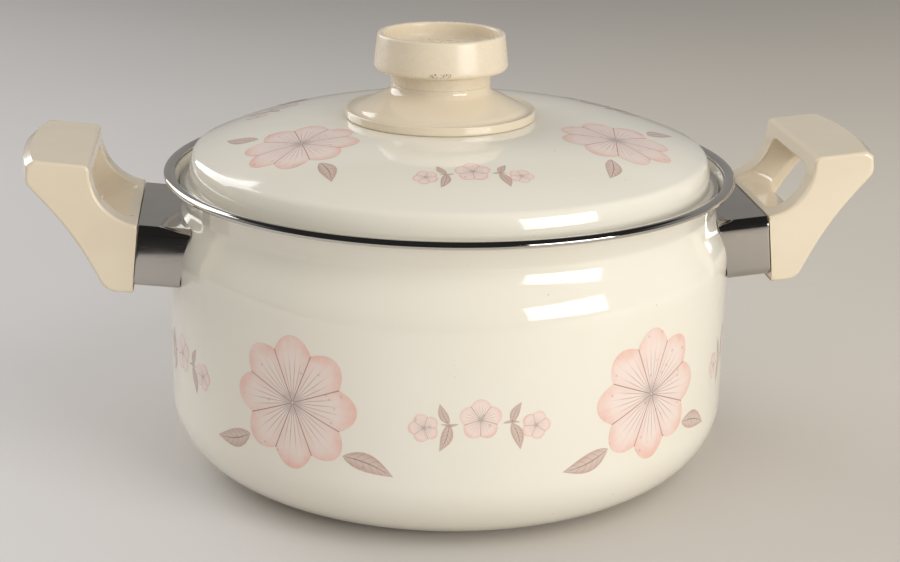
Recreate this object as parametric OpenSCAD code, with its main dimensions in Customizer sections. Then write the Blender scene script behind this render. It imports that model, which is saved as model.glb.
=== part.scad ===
// Enamelled dutch oven with a domed drop-in lid, two moulded side handles and a spool-shaped knob.
// Millimetres, +Z up, handles along X. The origin is the centre of the base, on the table.

/* [Pot] */
// Outer radius of the straight wall
belly_r = 124.4; // [115:0.1:132]
// Radius of the flat that the pot stands on
base_r = 85.2; // [70:0.1:95]
// Height at which the round bottom corner becomes the straight wall
corner_h = 31.7; // [22:0.1:42]
// Height at which the straight wall starts to draw in
belly_h = 96; // [84:0.1:100]
// Height of the narrowest part of the neck
neck_h = 120.5; // [116:0.1:124]
// How far the neck is drawn in from the straight wall
neck_in = 6.6; // [5:0.1:9]
// How far the flare above the neck opens out again
flare_out = 5; // [4.5:0.1:7]
// Height of the flare, from the neck to the rolled edge
flare_h = 10.5; // [8:0.1:13]
// Thickness of the enamelled wall
wall = 1.6; // [1:0.1:2.2]
// Thickness of the enamelled base
base_wall = 2.4; // [1.6:0.1:4]
// Hollow under the base, inside the standing ring
foot_lift = 0.8; // [0.3:0.1:1.4]
// Width of the ring that the pot stands on
foot_w = 12; // [6:0.5:20]

/* [Rim band] */
// Width of the steel band on the pot's edge, seen from above
band_w = 4.9; // [4.2:0.1:6]
// Height of the band
band_h = 3.4; // [3:0.1:4.4]
// Thickness of the band's sheet
band_gauge = 0.5; // [0.3:0.05:0.7]

/* [Lid] */
// Height of the lid's edge above the neck, where it rests in the flare
lid_seat = 7; // [5.5:0.1:8]
// Rise from the lid's edge to the flat on top of the dome
lid_rise = 28.2; // [22:0.1:34]
// Thickness of the lid's enamelled sheet
lid_wall = 1.4; // [1:0.1:2]
// Fall of the dome from the flat on top to the shoulder
dome_drop = 14.1; // [8:0.1:18]
// How far the dome's shoulder stands inside the lid's edge
dome_in = 9; // [7:0.1:12]
// Radius of the dome's shoulder
shoulder_r = 5; // [3:0.1:6]
// Lean of the lid's short side wall
side_lean = 17; // [8:1:22]
// Radius of the bend from the side wall to the edge flange
flange_bend = 2; // [1.5:0.1:3]
// Width of the steel band on the lid's edge, seen from above
lid_band_w = 2.6; // [2:0.1:3.4]
// Height of the lid's band
lid_band_h = 3.2; // [2.8:0.1:4]

/* [Knob] */
// How far the knob stands off the lid's middle, towards the left handle
knob_shift = 4.5; // [0:0.1:6]
// Radius of the knob's base where it sits on the lid
skirt_r = 41.8; // [36:0.1:46]
// Height of the upright edge of the base
skirt_edge = 3.8; // [2.5:0.1:5]
// Height of the base's cone, from the upright edge to the joint with the spool
skirt_rise = 11.2; // [11:0.1:16]
// Slope of the base's cone
skirt_slope = 27; // [20:1:29]
// Wall of the hollow base
skirt_wall = 3.2; // [2.4:0.1:4]
// Radius of the neck under the head
spool_neck_r = 21.8; // [17:0.1:24]
// Height of the straight neck
spool_neck_h = 5.3; // [3:0.1:7]
// Height of the sloped underside of the head
undercut_h = 1.2; // [0.6:0.1:4]
// Height of the head above its underside
head_h = 15.5; // [11:0.1:18]
// Greatest radius of the head
head_r = 29.3; // [26:0.1:33]
// Taper of the head from its greatest radius to its top
head_taper = 1.4; // [0.5:0.1:2.5]
// Thickness of the head's top edge
lip_w = 2.8; // [2:0.1:4]
// Depth of the dish in the head
dish_depth = 7; // [4:0.1:8]

/* [Handles] */
// Tilt of the handles and their ferrules, outer end up
handle_tilt = 6; // [0:0.5:9]
// Room for the fingers between the joint and the grip
finger_room = 21.2; // [18:0.1:25]
// Width of a handle across both arms
handle_w = 79; // [72:0.5:86]
// Height of a handle's flat top above the ferrule's top
handle_rise = 24.4; // [22:0.1:32]
// How far a handle hangs below its ferrule
foot_drop = 3; // [1:0.1:6]
// Depth of the grip at its top, at the middle of the handle
grip_depth = 30; // [26:0.1:34]
// Height of the upright outer face
grip_face = 9.5; // [6:0.1:12]
// Radius of the hollow inner face
palm_r = 23; // [21.5:0.1:26]
// Distance of the foot's outer corner from the joint with the ferrule
foot_reach = 10.5; // [7:0.1:14]
// Rounding of the long side edges
edge_r = 3.5; // [2:0.1:4]
// Width of the finger opening
opening_w = 56; // [44:0.5:58]
// Height of the finger opening
opening_h = 20.5; // [15:0.5:22]
// Depth of the moulded pocket in the outer face
pocket_d = 7; // [4:0.1:8]

/* [Ferrules and fixings] */
// Height of the ferrule
ferrule_h = 26.4; // [22:0.1:28]
// Distance of the ferrule's top below the pot's neck, at the joint
ferrule_drop = 2.5; // [2:0.1:8]
// Distance of the joint from the pot's straight wall
joint_out = 12.8; // [10:0.1:18]
// Radius of the ferrule's long corners
ferrule_r = 4; // [2:0.1:6]
// Thickness of the ferrule's sheet
ferrule_gauge = 0.8; // [0.5:0.05:1.2]
// Thickness of the bracket's steel
bracket_t = 2; // [1.5:0.1:3]
// Width of the bracket
bracket_w = 46; // [36:0.5:60]
// Height of the bracket
bracket_h = 14; // [10:0.5:18]
// Radius of the screws' threads
screw_r = 2.5; // [2:0.1:3]
// Radius of the screws' heads
screw_head_r = 4.5; // [4:0.1:5.5]

/* [Print] */
// Radius of a large blossom
bloom_r = 28.5; // [22:0.5:29]
// Number of petals of a large blossom
bloom_petals = 8; // [6:1:10]
// Length that sets the size of a small spray
spray_l = 36; // [26:0.5:38]
// Number of large blossoms around the pot
pot_repeat = 5; // [4:1:5]
// Number of large blossoms around the lid
lid_repeat = 3; // [3:1:4]
// Thickness of the print
print_t = 0.15; // [0.1:0.01:0.3]

/* [Hidden] */
$fn = 96;
// Clearance between pieces that are pressed or clamped together
fit = 0.1;
// Play of the lid's band in the flare, measured level with the band's middle
lid_fit = 0.45;
// Overlap of a cutting shape past the face that it cuts
cut = 1;

neck_r = belly_r - neck_in;
flare_top = neck_h + flare_h;
// The shoulder bends later than a plain cosine blend would
shoulder_skew = 1.2;
// The flare opens almost in a straight line
flare_power = 1.15;
bead_r = neck_r + flare_out - wall / 2;
// The roll stands outward of the wall's middle and starts just under the wall's end
roll_out = 1.35;
roll_drop = 0.4;
rim_x = bead_r + roll_out;
rim_z = flare_top + band_h / 2 - roll_drop;
band_round = band_h * 0.45;

lid_z = neck_h + lid_seat;
lid_r = flare_r(lid_z) - wall - lid_fit;
lid_band_x = lid_r - lid_band_w / 2;
lid_band_gauge = 0.45;
lid_top = lid_z + lid_rise;
flange_top = lid_z + lid_wall / 2;
flange_r = lid_r - lid_band_gauge - fit;
dome_flat = skirt_r + knob_shift + 0.2;
dome_edge = lid_r - dome_in;
dome_w = dome_edge - dome_flat;
dome_arc = (pow(dome_w, 2) + pow(dome_drop, 2)) / (2 * dome_drop);
dome_deg = asin(dome_w / dome_arc);
side_deg = 90 - side_lean;
shoulder_x = dome_edge - shoulder_r * sin(dome_deg);
shoulder_z = lid_top - dome_drop - shoulder_r * cos(dome_deg);

knob_z = lid_top + fit;
joint_z = knob_z + skirt_edge + skirt_rise;
underside_z = joint_z + spool_neck_h;
head_z = underside_z + undercut_h;
knob_top = head_z + head_h;
head_round = 1.6;
insert_r = 4.6;
insert_h = dish_floor() - joint_z - 3;
boss_r = 9;
gasket_t = 0.8;
washer_t = 1;
washer_r = 9;
screw_fit = 0.3;

half_w = handle_w / 2;
// The handles and ferrules are drawn level and then tilted about the middle of the joint
joint_x = belly_r + joint_out;
grip_in = joint_x + finger_room;
handle_reach = grip_in + grip_depth;
grip_out = sqrt(pow(handle_reach, 2) - pow(half_w, 2));
ferrule_top = neck_h - ferrule_drop;
ferrule_foot = ferrule_top - ferrule_h;
ferrule_mid = (ferrule_foot + ferrule_top) / 2;
handle_top = ferrule_top + handle_rise;
handle_foot = ferrule_foot - foot_drop;
knee_z = handle_top - grip_face;
ferrule_w = handle_w - 0.6;
palm_end = ferrule_top + 0.5;
foot_x = joint_x + foot_reach;
slope_deg = atan2(knee_z - handle_foot, grip_out - foot_x);
slope_len = norm([knee_z - handle_foot, grip_out - foot_x]);
palm_z = palm_end + sqrt(pow(palm_r, 2) - pow(palm_r - finger_room, 2));
knee_r = 6;
foot_r = 8;
top_r = 2.2;
slope_sag = 2.2;
tongue_h = 3;
tongue_fit = 0.4;
opening_s = slope_len * 0.575;
opening_round = 5;
pocket_s = slope_len * 0.46;
pocket_l = slope_len * 0.74;
pocket_w = handle_w - 9;
pocket_round = 9;
seat_x = joint_x + 10.3;
seat_r = screw_head_r + 1;
web_x = joint_x - tongue_h - fit;
nut_r = screw_r * 1.85;
nut_h = 4;
screw_head_h = 3;
spring_t = 1.2;
tab_w = 9;

pot_pitch = 360 / pot_repeat;
lid_pitch = 360 / lid_repeat;
// The print keeps clear of the ferrules, so its middle lies below that of the straight wall
print_drop = 2.5;
print_z = (corner_h + belly_h) / 2 - print_drop;
bloom_x = dome_edge * 0.7;
spray_x = dome_edge * 0.76;
// The lid's print is a little smaller than the pot's
lid_share = 0.86;

function flare_r(z) = neck_r + flare_out * pow((z - neck_h) / flare_h, flare_power);
function dish_floor() = knob_top - dish_depth;
function arc(cx, cy, r, from, to, n) =
    [for (i = [0:n]) let (a = from + (to - from) * i / n) [cx + r * cos(a), cy + r * sin(a)]];
function reverse(list) = [for (i = [len(list) - 1:-1:0]) list[i]];
function rounded_box(w, h, r, n = 6) = concat(
    arc(w / 2 - r, h / 2 - r, r, 0, 90, n), arc(r - w / 2, h / 2 - r, r, 90, 180, n),
    arc(r - w / 2, r - h / 2, r, 180, 270, n), arc(w / 2 - r, r - h / 2, r, 270, 360, n));

// Wall of the pot from the bottom corner to the rolled edge: drawn in by "side", raised by "floor"
function pot_curve(side, floor) = concat(
    [for (i = [0:10]) let (a = -90 + 90 * i / 10)
        [base_r + (belly_r - base_r - side) * cos(a), corner_h + (corner_h - floor) * sin(a)]],
    [for (i = [0:12]) let (s = i / 12)
        [belly_r - side - neck_in * (1 - cos(180 * pow(s, shoulder_skew))) / 2,
         belly_h + (neck_h - belly_h) * s]],
    [for (i = [1:6]) let (z = neck_h + flare_h * i / 6) [flare_r(z) - side, z]]);

// Half section of the lid's sheet, "d" under its top face
function lid_curve(d) = concat(
    [[0, lid_top - d]],
    [for (i = [0:14]) let (a = dome_deg * i / 14)
        [dome_flat + (dome_arc - d) * sin(a), lid_top - dome_arc + (dome_arc - d) * cos(a)]],
    [for (i = [1:5]) let (a = dome_deg + (side_deg - dome_deg) * i / 5)
        [shoulder_x + (shoulder_r - d) * sin(a), shoulder_z + (shoulder_r - d) * cos(a)]],
    [for (i = [0:4]) let (a = side_deg * (1 - i / 4))
        [bend_x() - (flange_bend + d) * sin(a), bend_z() - (flange_bend + d) * cos(a)]],
    [[flange_r, flange_top - d]]);
function bend_z() = flange_top + flange_bend;
function bend_x() = shoulder_x + (shoulder_r + flange_bend) * sin(side_deg)
    + (shoulder_z + (shoulder_r + flange_bend) * cos(side_deg) - bend_z()) * tan(side_lean);

// One upright slice of the handle, "d" inside its faces and "bow" further out at the grip
function outer_line(d, bow) = let (
        foot_c = [foot_x - (d + foot_r - d) * tan(slope_deg / 2), handle_foot + foot_r],
        knee_c = [grip_out - knee_r, knee_z + knee_r * tan(45 - slope_deg / 2)],
        fr = foot_r - d, kr = knee_r - d, tr = max(top_r - d, 0.4))
    concat(
        [[joint_x, handle_foot + d]],
        [for (i = [0:4]) let (a = -90 + slope_deg * i / 4)
            [foot_c[0] + fr * cos(a) + bow * 0.1 * i / 4, foot_c[1] + fr * sin(a)]],
        [for (i = [1:2]) let (s = i / 3, a = slope_deg - 90,
            p = foot_c + fr * [cos(a), sin(a)], q = knee_c + kr * [cos(a), sin(a)])
            p + (q - p) * s + [bow * (0.1 + 0.9 * s), 0] - slope_sag * [cos(a), sin(a)]],
        [for (i = [0:3]) let (a = (slope_deg - 90) * (1 - i / 3))
            [knee_c[0] + kr * cos(a) + bow, knee_c[1] + kr * sin(a)]],
        [for (i = [0:3]) let (a = 90 * i / 3)
            [grip_out - d - tr + tr * cos(a) + bow, handle_top - d - tr + tr * sin(a)]]);
function inner_line(d) = let (
        r = palm_r + d, tr = max(top_r - d, 0.4), brow = handle_top - d - tr,
        from = -acos((palm_r - finger_room) / r), to = -asin(max(palm_z - brow, 0) / r))
    concat(
        [for (i = [0:11]) let (a = from + (to - from) * i / 11)
            [grip_in - palm_r + r * cos(a), palm_z + r * sin(a)]],
        [for (i = [0:3]) let (a = 180 - 90 * i / 3)
            [grip_in + d + tr + tr * cos(a), brow + tr * sin(a)]]);
function bow_at(y) = sqrt(pow(handle_reach, 2) - pow(y, 2)) - grip_out;
function slices() = let (flat = half_w - edge_r, n = 5, m = 8) concat(
    [for (i = [0:n - 1]) let (a = 90 * (1 - i / n)) [-flat - edge_r * sin(a), edge_r * (1 - cos(a))]],
    [for (i = [0:m]) [flat * (2 * i / m - 1), 0]],
    [for (i = [1:n]) let (a = 90 * i / n) [flat + edge_r * sin(a), edge_r * (1 - cos(a))]]);

// Outline of an open blossom seen from above, with rounded petals
function rosette(r, petals, n = 6) = [for (i = [0:petals * n - 1]) let (a = 360 * i / (petals * n))
    r * (0.8 + 0.2 * abs(cos(petals * a / 2))) * [sin(a), cos(a)]];
// Outline of a pointed leaf that lies along +X
function leaf(l, w) = concat(
    [for (i = [0:8]) let (s = i / 8) [l * s, w / 2 * sin(180 * pow(s, 0.8))]],
    [for (i = [7:-1:1]) let (s = i / 8) [l * s, -w / 2 * sin(180 * pow(s, 0.8))]]);

ivory = "#f3ecd9";
cream = "#e6d6b4";
steel = "#b9b6b0";
dark_steel = "#8d8a86";
brass = "#c2a24f";
rubber = "#5a4a42";
rose = "#e3a79b";
taupe = "#b5a397";

// One deep-drawn shell with a hollow base, round corner, drawn-in neck, flare and rolled edge
module pot_body() {
    bead_w = band_w - 2 * (band_gauge + fit);
    bead_h = band_h - 2 * (band_gauge + fit);
    color(ivory) rotate_extrude() union() {
        polygon(concat(
            [[0, foot_lift], [base_r - foot_w, foot_lift], [base_r - foot_w + foot_lift, 0]],
            pot_curve(0, 0), [[flare_r(flare_top), rim_z]], [[flare_r(flare_top) - wall, rim_z]],
            reverse(pot_curve(wall, base_wall + foot_lift)), [[0, base_wall + foot_lift]]));
        translate([rim_x, rim_z]) polygon(rounded_box(bead_w, bead_h, band_round - band_gauge - fit));
    }
}

// Solid of the pot's outer form, grown by "c", that trims what meets the wall
module pot_form(c) {
    rotate_extrude() polygon(concat([[0, 0]], pot_curve(-c, 0), [[0, flare_top]]));
}

// Rolled steel band that grips the pot's edge, open below where the wall enters it
module rim_band() {
    slot_w = wall + 2 * fit;
    color(steel) rotate_extrude() difference() {
        translate([rim_x, rim_z]) polygon(rounded_box(band_w, band_h, band_round));
        translate([rim_x, rim_z])
            polygon(rounded_box(band_w - 2 * band_gauge, band_h - 2 * band_gauge, band_round - band_gauge));
        translate([flare_r(flare_top) - wall - fit - cut, rim_z - band_h])
            square([slot_w + cut, band_h]);
    }
}

// Places a side piece on the right (+X) or, turned half round, on the left
module on_side(right) {
    rotate([0, 0, right ? 0 : 180]) children();
}

// Tilts a side piece about the middle of the joint between handle and ferrule
module tilted() {
    translate([joint_x, 0, ferrule_mid]) rotate([0, -handle_tilt, 0])
        translate([-joint_x, 0, -ferrule_mid]) children();
}

// Extrudes an outline drawn in Y and Z along +X, from x0 to x1
module along_x(x0, x1) {
    translate([x0, 0, 0]) rotate([90, 0, 90]) linear_extrude(x1 - x0) children();
}

// Steel strap welded to the wall: a web for the screw, two legs and two tabs bent along the wall
module bracket(right) {
    leg_y = bracket_w / 2 - bracket_t / 2;
    color(dark_steel) on_side(right) difference() {
        union() {
            tilted() translate([web_x - bracket_t, -bracket_w / 2, ferrule_mid - bracket_h / 2])
                cube([bracket_t, bracket_w, bracket_h]);
            for (side = [-1, 1]) {
                tilted() translate([neck_r - neck_in, side * leg_y - bracket_t / 2,
                    ferrule_mid - bracket_h / 2])
                    cube([web_x - neck_r + neck_in - bracket_t / 2, bracket_t, bracket_h]);
                intersection() {
                    pot_form(bracket_t);
                    tilted() translate([neck_r - 4 * neck_in, side * (leg_y - tab_w / 2) - tab_w / 2,
                        ferrule_mid - bracket_h / 2])
                        cube([6 * neck_in, tab_w, bracket_h]);
                }
            }
        }
        pot_form(fit);
        tilted() translate([neck_r, 0, ferrule_mid]) rotate([0, 90, 0])
            cylinder(r = screw_r + screw_fit, h = web_x - neck_r + cut);
    }
}

// Hexagon nut behind the bracket's web
module bracket_nut(right) {
    color(dark_steel) on_side(right) tilted() translate([web_x - bracket_t - nut_h, 0, ferrule_mid])
        rotate([0, 90, 0]) difference() {
            cylinder(r = nut_r, h = nut_h, $fn = 6);
            translate([0, 0, -cut]) cylinder(r = screw_r, h = nut_h + 2 * cut);
        }
}

// Sheet-steel sleeve between the wall and the handle
module ferrule(right) {
    inner_w = ferrule_w - 2 * ferrule_gauge;
    inner_h = ferrule_h - 2 * ferrule_gauge;
    color(steel) on_side(right) difference() {
        tilted() along_x(neck_r - 4 * neck_in, joint_x) translate([0, ferrule_mid]) difference() {
            polygon(rounded_box(ferrule_w, ferrule_h, ferrule_r));
            polygon(rounded_box(inner_w, inner_h, ferrule_r - ferrule_gauge));
        }
        pot_form(fit);
    }
}

// The handle's moulded form, lofted through upright slices from one side to the other
module handle_form() {
    rings = [for (s = slices()) let (bow = bow_at(min(abs(s[0]), half_w)))
        [for (p = concat(outer_line(s[1], bow), reverse(inner_line(s[1])))) [p[0], s[0], p[1]]]];
    n = len(rings[0]);
    m = len(rings);
    half = n / 2;
    last = (m - 1) * n;
    points = [for (ring = rings) each ring];
    sides = [for (j = [0:m - 2], i = [0:n - 1]) let (a = j * n + i, b = j * n + (i + 1) % n)
        each [[a, b, b + n], [a, b + n, a + n]]];
    near_cap = [for (i = [0:half - 2]) let (k = n - 1 - i) each [[i, k, k - 1], [i, k - 1, i + 1]]];
    far_cap = [for (i = [0:half - 2]) let (k = n - 1 - i)
        each [[last + i, last + k - 1, last + k], [last + i, last + i + 1, last + k - 1]]];
    polyhedron(points, concat(sides, near_cap, far_cap));
}

// A frame on the handle's sloped outer face: Z out of the face, X down the slope, "s" up from the foot
module on_slope(s) {
    translate([foot_x + s * cos(slope_deg), 0, handle_foot + s * sin(slope_deg)])
        rotate([0, 180 - slope_deg, 0]) children();
}

// Moulded side handle: hollow inner face, finger opening, pocketed back and a tongue in the ferrule
module handle(right) {
    tongue_w = ferrule_w - 2 * (ferrule_gauge + tongue_fit);
    tongue_z = ferrule_h - 2 * (ferrule_gauge + tongue_fit);
    color(cream) on_side(right) tilted() difference() {
        union() {
            handle_form();
            along_x(web_x + fit, joint_x + cut) translate([0, ferrule_mid])
                polygon(rounded_box(tongue_w, tongue_z, ferrule_r - ferrule_gauge));
        }
        on_slope(opening_s) translate([0, 0, -2 * palm_r]) linear_extrude(2 * palm_r)
            polygon(rounded_box(opening_h, opening_w, opening_round));
        on_slope(pocket_s) translate([0, 0, -pocket_d]) linear_extrude(pocket_d + handle_w)
            polygon(rounded_box(pocket_l, pocket_w, pocket_round));
        translate([0, 0, ferrule_mid]) rotate([0, 90, 0]) {
            cylinder(r = screw_r + screw_fit, h = handle_reach);
            translate([0, 0, seat_x]) cylinder(r = seat_r, h = handle_reach);
        }
    }
}

// Spring washer under the screw's head
module handle_washer(right) {
    color(dark_steel) on_side(right) tilted() translate([seat_x, 0, ferrule_mid]) rotate([0, 90, 0])
        difference() {
            cylinder(r = screw_head_r, h = spring_t);
            translate([0, 0, -cut]) cylinder(r = screw_r + screw_fit / 2, h = spring_t + 2 * cut);
        }
}

// Pan-head screw with a cross recess, head at z = 0 and above, shank below
module pan_screw(shank) {
    recess = screw_head_r * 1.1;
    slot = screw_r * 0.4;
    difference() {
        union() {
            translate([0, 0, -shank]) cylinder(r = screw_r, h = shank);
            cylinder(r = screw_head_r, h = screw_head_h * 0.6);
            translate([0, 0, screw_head_h * 0.6])
                cylinder(r1 = screw_head_r, r2 = screw_head_r * 0.72, h = screw_head_h * 0.4);
        }
        for (turn = [0, 90]) rotate([0, 0, turn]) translate([-recess / 2, -slot / 2, screw_head_h * 0.4])
            cube([recess, slot, screw_head_h]);
    }
}

// Screw from the handle's pocket through the bracket and into its nut
module handle_screw(right) {
    head_x = seat_x + spring_t;
    color(steel) on_side(right) tilted() translate([head_x, 0, ferrule_mid]) rotate([0, 90, 0])
        pan_screw(head_x - web_x + bracket_t + nut_h);
}

// Moves a piece of the knob, or its hole, to where the knob stands on the lid
module at_knob() {
    translate([-knob_shift, 0, 0]) children();
}

// Domed lid of one sheet, with a leaning side wall, an edge flange and the hole for the knob's screw
module lid() {
    color(ivory) difference() {
        rotate_extrude() polygon(concat(lid_curve(0), reverse(lid_curve(lid_wall))));
        at_knob() translate([0, 0, lid_top - lid_wall - cut])
            cylinder(r = screw_r + screw_fit, h = lid_wall + 2 * cut);
    }
}

// Steel band folded round the lid's flange
module lid_band() {
    slot_h = lid_wall + 2 * fit;
    color(steel) rotate_extrude() difference() {
        translate([lid_band_x, lid_z]) polygon(rounded_box(lid_band_w, lid_band_h, lid_band_w * 0.46));
        translate([lid_band_x - lid_band_w, lid_z - slot_h / 2])
            square([lid_band_w * 1.5 - lid_band_gauge, slot_h]);
        polygon(concat(lid_curve(-fit), reverse(lid_curve(lid_wall + fit))));
    }
}

// Rubber ring between the lid and the knob's base
module knob_gasket() {
    color(rubber) at_knob() translate([0, 0, lid_top]) difference() {
        cylinder(r = boss_r, h = gasket_t);
        translate([0, 0, -cut]) cylinder(r = screw_r + screw_fit, h = gasket_t + 2 * cut);
    }
}

// Hollow moulded base: upright edge, shallow cove, cone and a fillet up to the spool's neck
module knob_base() {
    edge_z = knob_z + skirt_edge;
    cove_w = skirt_r * 0.11;
    cove_d = 0.9;
    cone_r = skirt_r - 1 - cove_w;
    fillet = 3.6;
    fillet_x = spool_neck_r + fillet;
    fillet_z = edge_z + cove_d + (cone_r - fillet_x + fillet * sin(skirt_slope)) * tan(skirt_slope)
        + fillet * cos(skirt_slope);
    bore = screw_r + screw_fit;
    outer = concat(
        [[skirt_r, knob_z], [skirt_r, edge_z - 0.5], [skirt_r - 0.5, edge_z], [skirt_r - 1, edge_z]],
        [for (i = [0:4]) let (s = i / 4)
            [skirt_r - 1 - cove_w * s, edge_z + cove_d * s - cove_d * sin(180 * s)]],
        reverse(arc(fillet_x, fillet_z, fillet, 180, 270 - skirt_slope, 5)),
        [[spool_neck_r, joint_z]]);
    hollow = skirt_rise * 0.6;
    inner = [for (i = [0:6]) let (a = 90 * i / 6, span = skirt_r - skirt_wall - boss_r - 2)
        [boss_r + 2 + span * cos(a), knob_z + hollow * pow(sin(a), 2.4)]];
    color(cream) at_knob() rotate_extrude() polygon(concat(
        [[bore, lid_top + gasket_t], [bore, joint_z]], reverse(outer), inner,
        [[boss_r, knob_z + hollow - 0.4], [boss_r, lid_top + gasket_t]]));
}

// Moulded spool: straight neck, sloped underside, tapered head and a dished top
module knob_spool() {
    lip_r = head_r - head_taper;
    dish_r = lip_r - lip_w;
    dish_round = 2;
    edge = 0.8;
    color(cream) at_knob() difference() {
        rotate_extrude() polygon(concat(
            [[0, joint_z], [spool_neck_r, joint_z], [spool_neck_r, underside_z]],
            arc(head_r - head_round, head_z + head_round * 0.8, head_round, -60, 0, 4),
            arc(lip_r - edge, knob_top - edge, edge, 0, 90, 3),
            arc(dish_r + edge, knob_top - edge, edge, 90, 180, 3),
            arc(dish_r - dish_round, dish_floor() + dish_round, dish_round, 0, -90, 4),
            [[0, dish_floor()]]));
        translate([0, 0, joint_z - cut]) cylinder(r = insert_r, h = insert_h + cut);
    }
}

// Threaded brass insert moulded into the spool
module knob_insert() {
    color(brass) at_knob() translate([0, 0, joint_z]) difference() {
        cylinder(r = insert_r, h = insert_h);
        translate([0, 0, -cut]) cylinder(r = screw_r, h = insert_h);
    }
}

// Steel washer inside the lid
module knob_washer() {
    color(steel) at_knob() translate([0, 0, lid_top - lid_wall - washer_t]) difference() {
        cylinder(r = washer_r, h = washer_t);
        translate([0, 0, -cut]) cylinder(r = screw_r + screw_fit, h = washer_t + 2 * cut);
    }
}

// Screw from inside the lid up into the spool's insert
module knob_screw() {
    head_z0 = lid_top - lid_wall - washer_t;
    color(steel) at_knob() translate([0, 0, head_z0]) mirror([0, 0, 1])
        pan_screw(joint_z + insert_h - 2 * cut - head_z0);
}

// Thin skin on the pot's straight wall, cut to the outline given as children
module wall_print(turn, z) {
    intersection() {
        translate([0, 0, corner_h]) difference() {
            cylinder(r = belly_r + print_t, h = belly_h - corner_h);
            translate([0, 0, -cut]) cylinder(r = belly_r, h = belly_h - corner_h + 2 * cut);
        }
        rotate([0, 0, turn]) translate([0, 0, z]) rotate([90, 0, 0])
            linear_extrude(belly_r + cut) children();
    }
}

// Thin skin on the lid's dome, cut to the outline given as children, "r" from the centre
module dome_print(turn, r) {
    skin = concat([for (i = [1:14]) lid_curve(-print_t)[i]], reverse([for (i = [1:14]) lid_curve(0)[i]]));
    intersection() {
        rotate_extrude() polygon(skin);
        translate([0, 0, lid_z]) rotate([0, 0, turn]) translate([0, -r, 0])
            linear_extrude(lid_rise + cut) children();
    }
}

// Two leaves that reach out from a large blossom, "low" degrees below its middle
module bloom_leaves(r, low) {
    for (side = [-1, 1]) translate(1.03 * r * [side * cos(low), -sin(low)])
        rotate(side > 0 ? -18 : 198) polygon(leaf(r * 0.75, r * 0.28));
}

// Three small blossoms side by side, the middle one larger
module spray_blossoms(l) {
    polygon(rosette(l * 0.24, 5, 5));
    for (side = [-1, 1]) translate([side * l * 0.62, -l * 0.1]) polygon(rosette(l * 0.17, 5, 5));
}

// Stems and leaves between the small blossoms
module spray_leaves(l) {
    for (side = [-1, 1]) translate([side * l * 0.345, -l * 0.05]) {
        square([l * 0.18, l * 0.025], center = true);
        rotate(side > 0 ? -72 : 252) polygon(leaf(l * 0.34, l * 0.13));
        rotate(side > 0 ? 66 : 114) polygon(leaf(l * 0.26, l * 0.1));
    }
}

// Large blossoms and, between them, sprays around the pot's wall
module pot_blossoms() {
    color(rose) for (i = [0:pot_repeat - 1]) {
        wall_print(pot_pitch * (i + 0.5), print_z) polygon(rosette(bloom_r, bloom_petals));
        wall_print(pot_pitch * i, print_z) spray_blossoms(spray_l);
    }
}

// Leaves of the pot's blossoms and sprays
module pot_leaves() {
    color(taupe) for (i = [0:pot_repeat - 1]) {
        wall_print(pot_pitch * (i + 0.5), print_z) bloom_leaves(bloom_r, 40);
        wall_print(pot_pitch * i, print_z) spray_leaves(spray_l);
    }
}

// Blossoms and sprays around the dome, with a blossom at the back
module lid_blossoms() {
    color(rose) for (i = [0:lid_repeat - 1]) {
        dome_print(lid_pitch * (i + 0.5), bloom_x) polygon(rosette(bloom_r * lid_share, bloom_petals));
        dome_print(lid_pitch * i, spray_x) spray_blossoms(spray_l * lid_share);
    }
}

// Leaves of the dome's blossoms and sprays
module lid_leaves() {
    color(taupe) for (i = [0:lid_repeat - 1]) {
        dome_print(lid_pitch * (i + 0.5), bloom_x) bloom_leaves(bloom_r * lid_share, 15);
        dome_print(lid_pitch * i, spray_x) spray_leaves(spray_l * lid_share);
    }
}

pot_body();
rim_band();
bracket(true);  // bracket_right
bracket(false);  // bracket_left
bracket_nut(true);  // bracket_nut_right
bracket_nut(false);  // bracket_nut_left
ferrule(true);  // ferrule_right
ferrule(false);  // ferrule_left
handle(true);  // handle_right
handle(false);  // handle_left
handle_washer(true);  // handle_washer_right
handle_washer(false);  // handle_washer_left
handle_screw(true);  // handle_screw_right
handle_screw(false);  // handle_screw_left
lid();
lid_band();
knob_gasket();
knob_base();
knob_spool();
knob_insert();
knob_washer();
knob_screw();
pot_blossoms();
pot_leaves();
lid_blossoms();
lid_leaves();
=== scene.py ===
"""Looks of an enamelled dutch oven: shells, bands, knob, side handles, print, studio and camera.

Sizes in the classes are millimetres in the frame of the solids: +Z up, handles along X, the origin at
the centre of the base. Meshes are written in metres.
"""

import logging
import math
from collections.abc import Callable
from dataclasses import dataclass
from enum import Enum

import bpy
import numpy as np
from mathutils import Matrix

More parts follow.
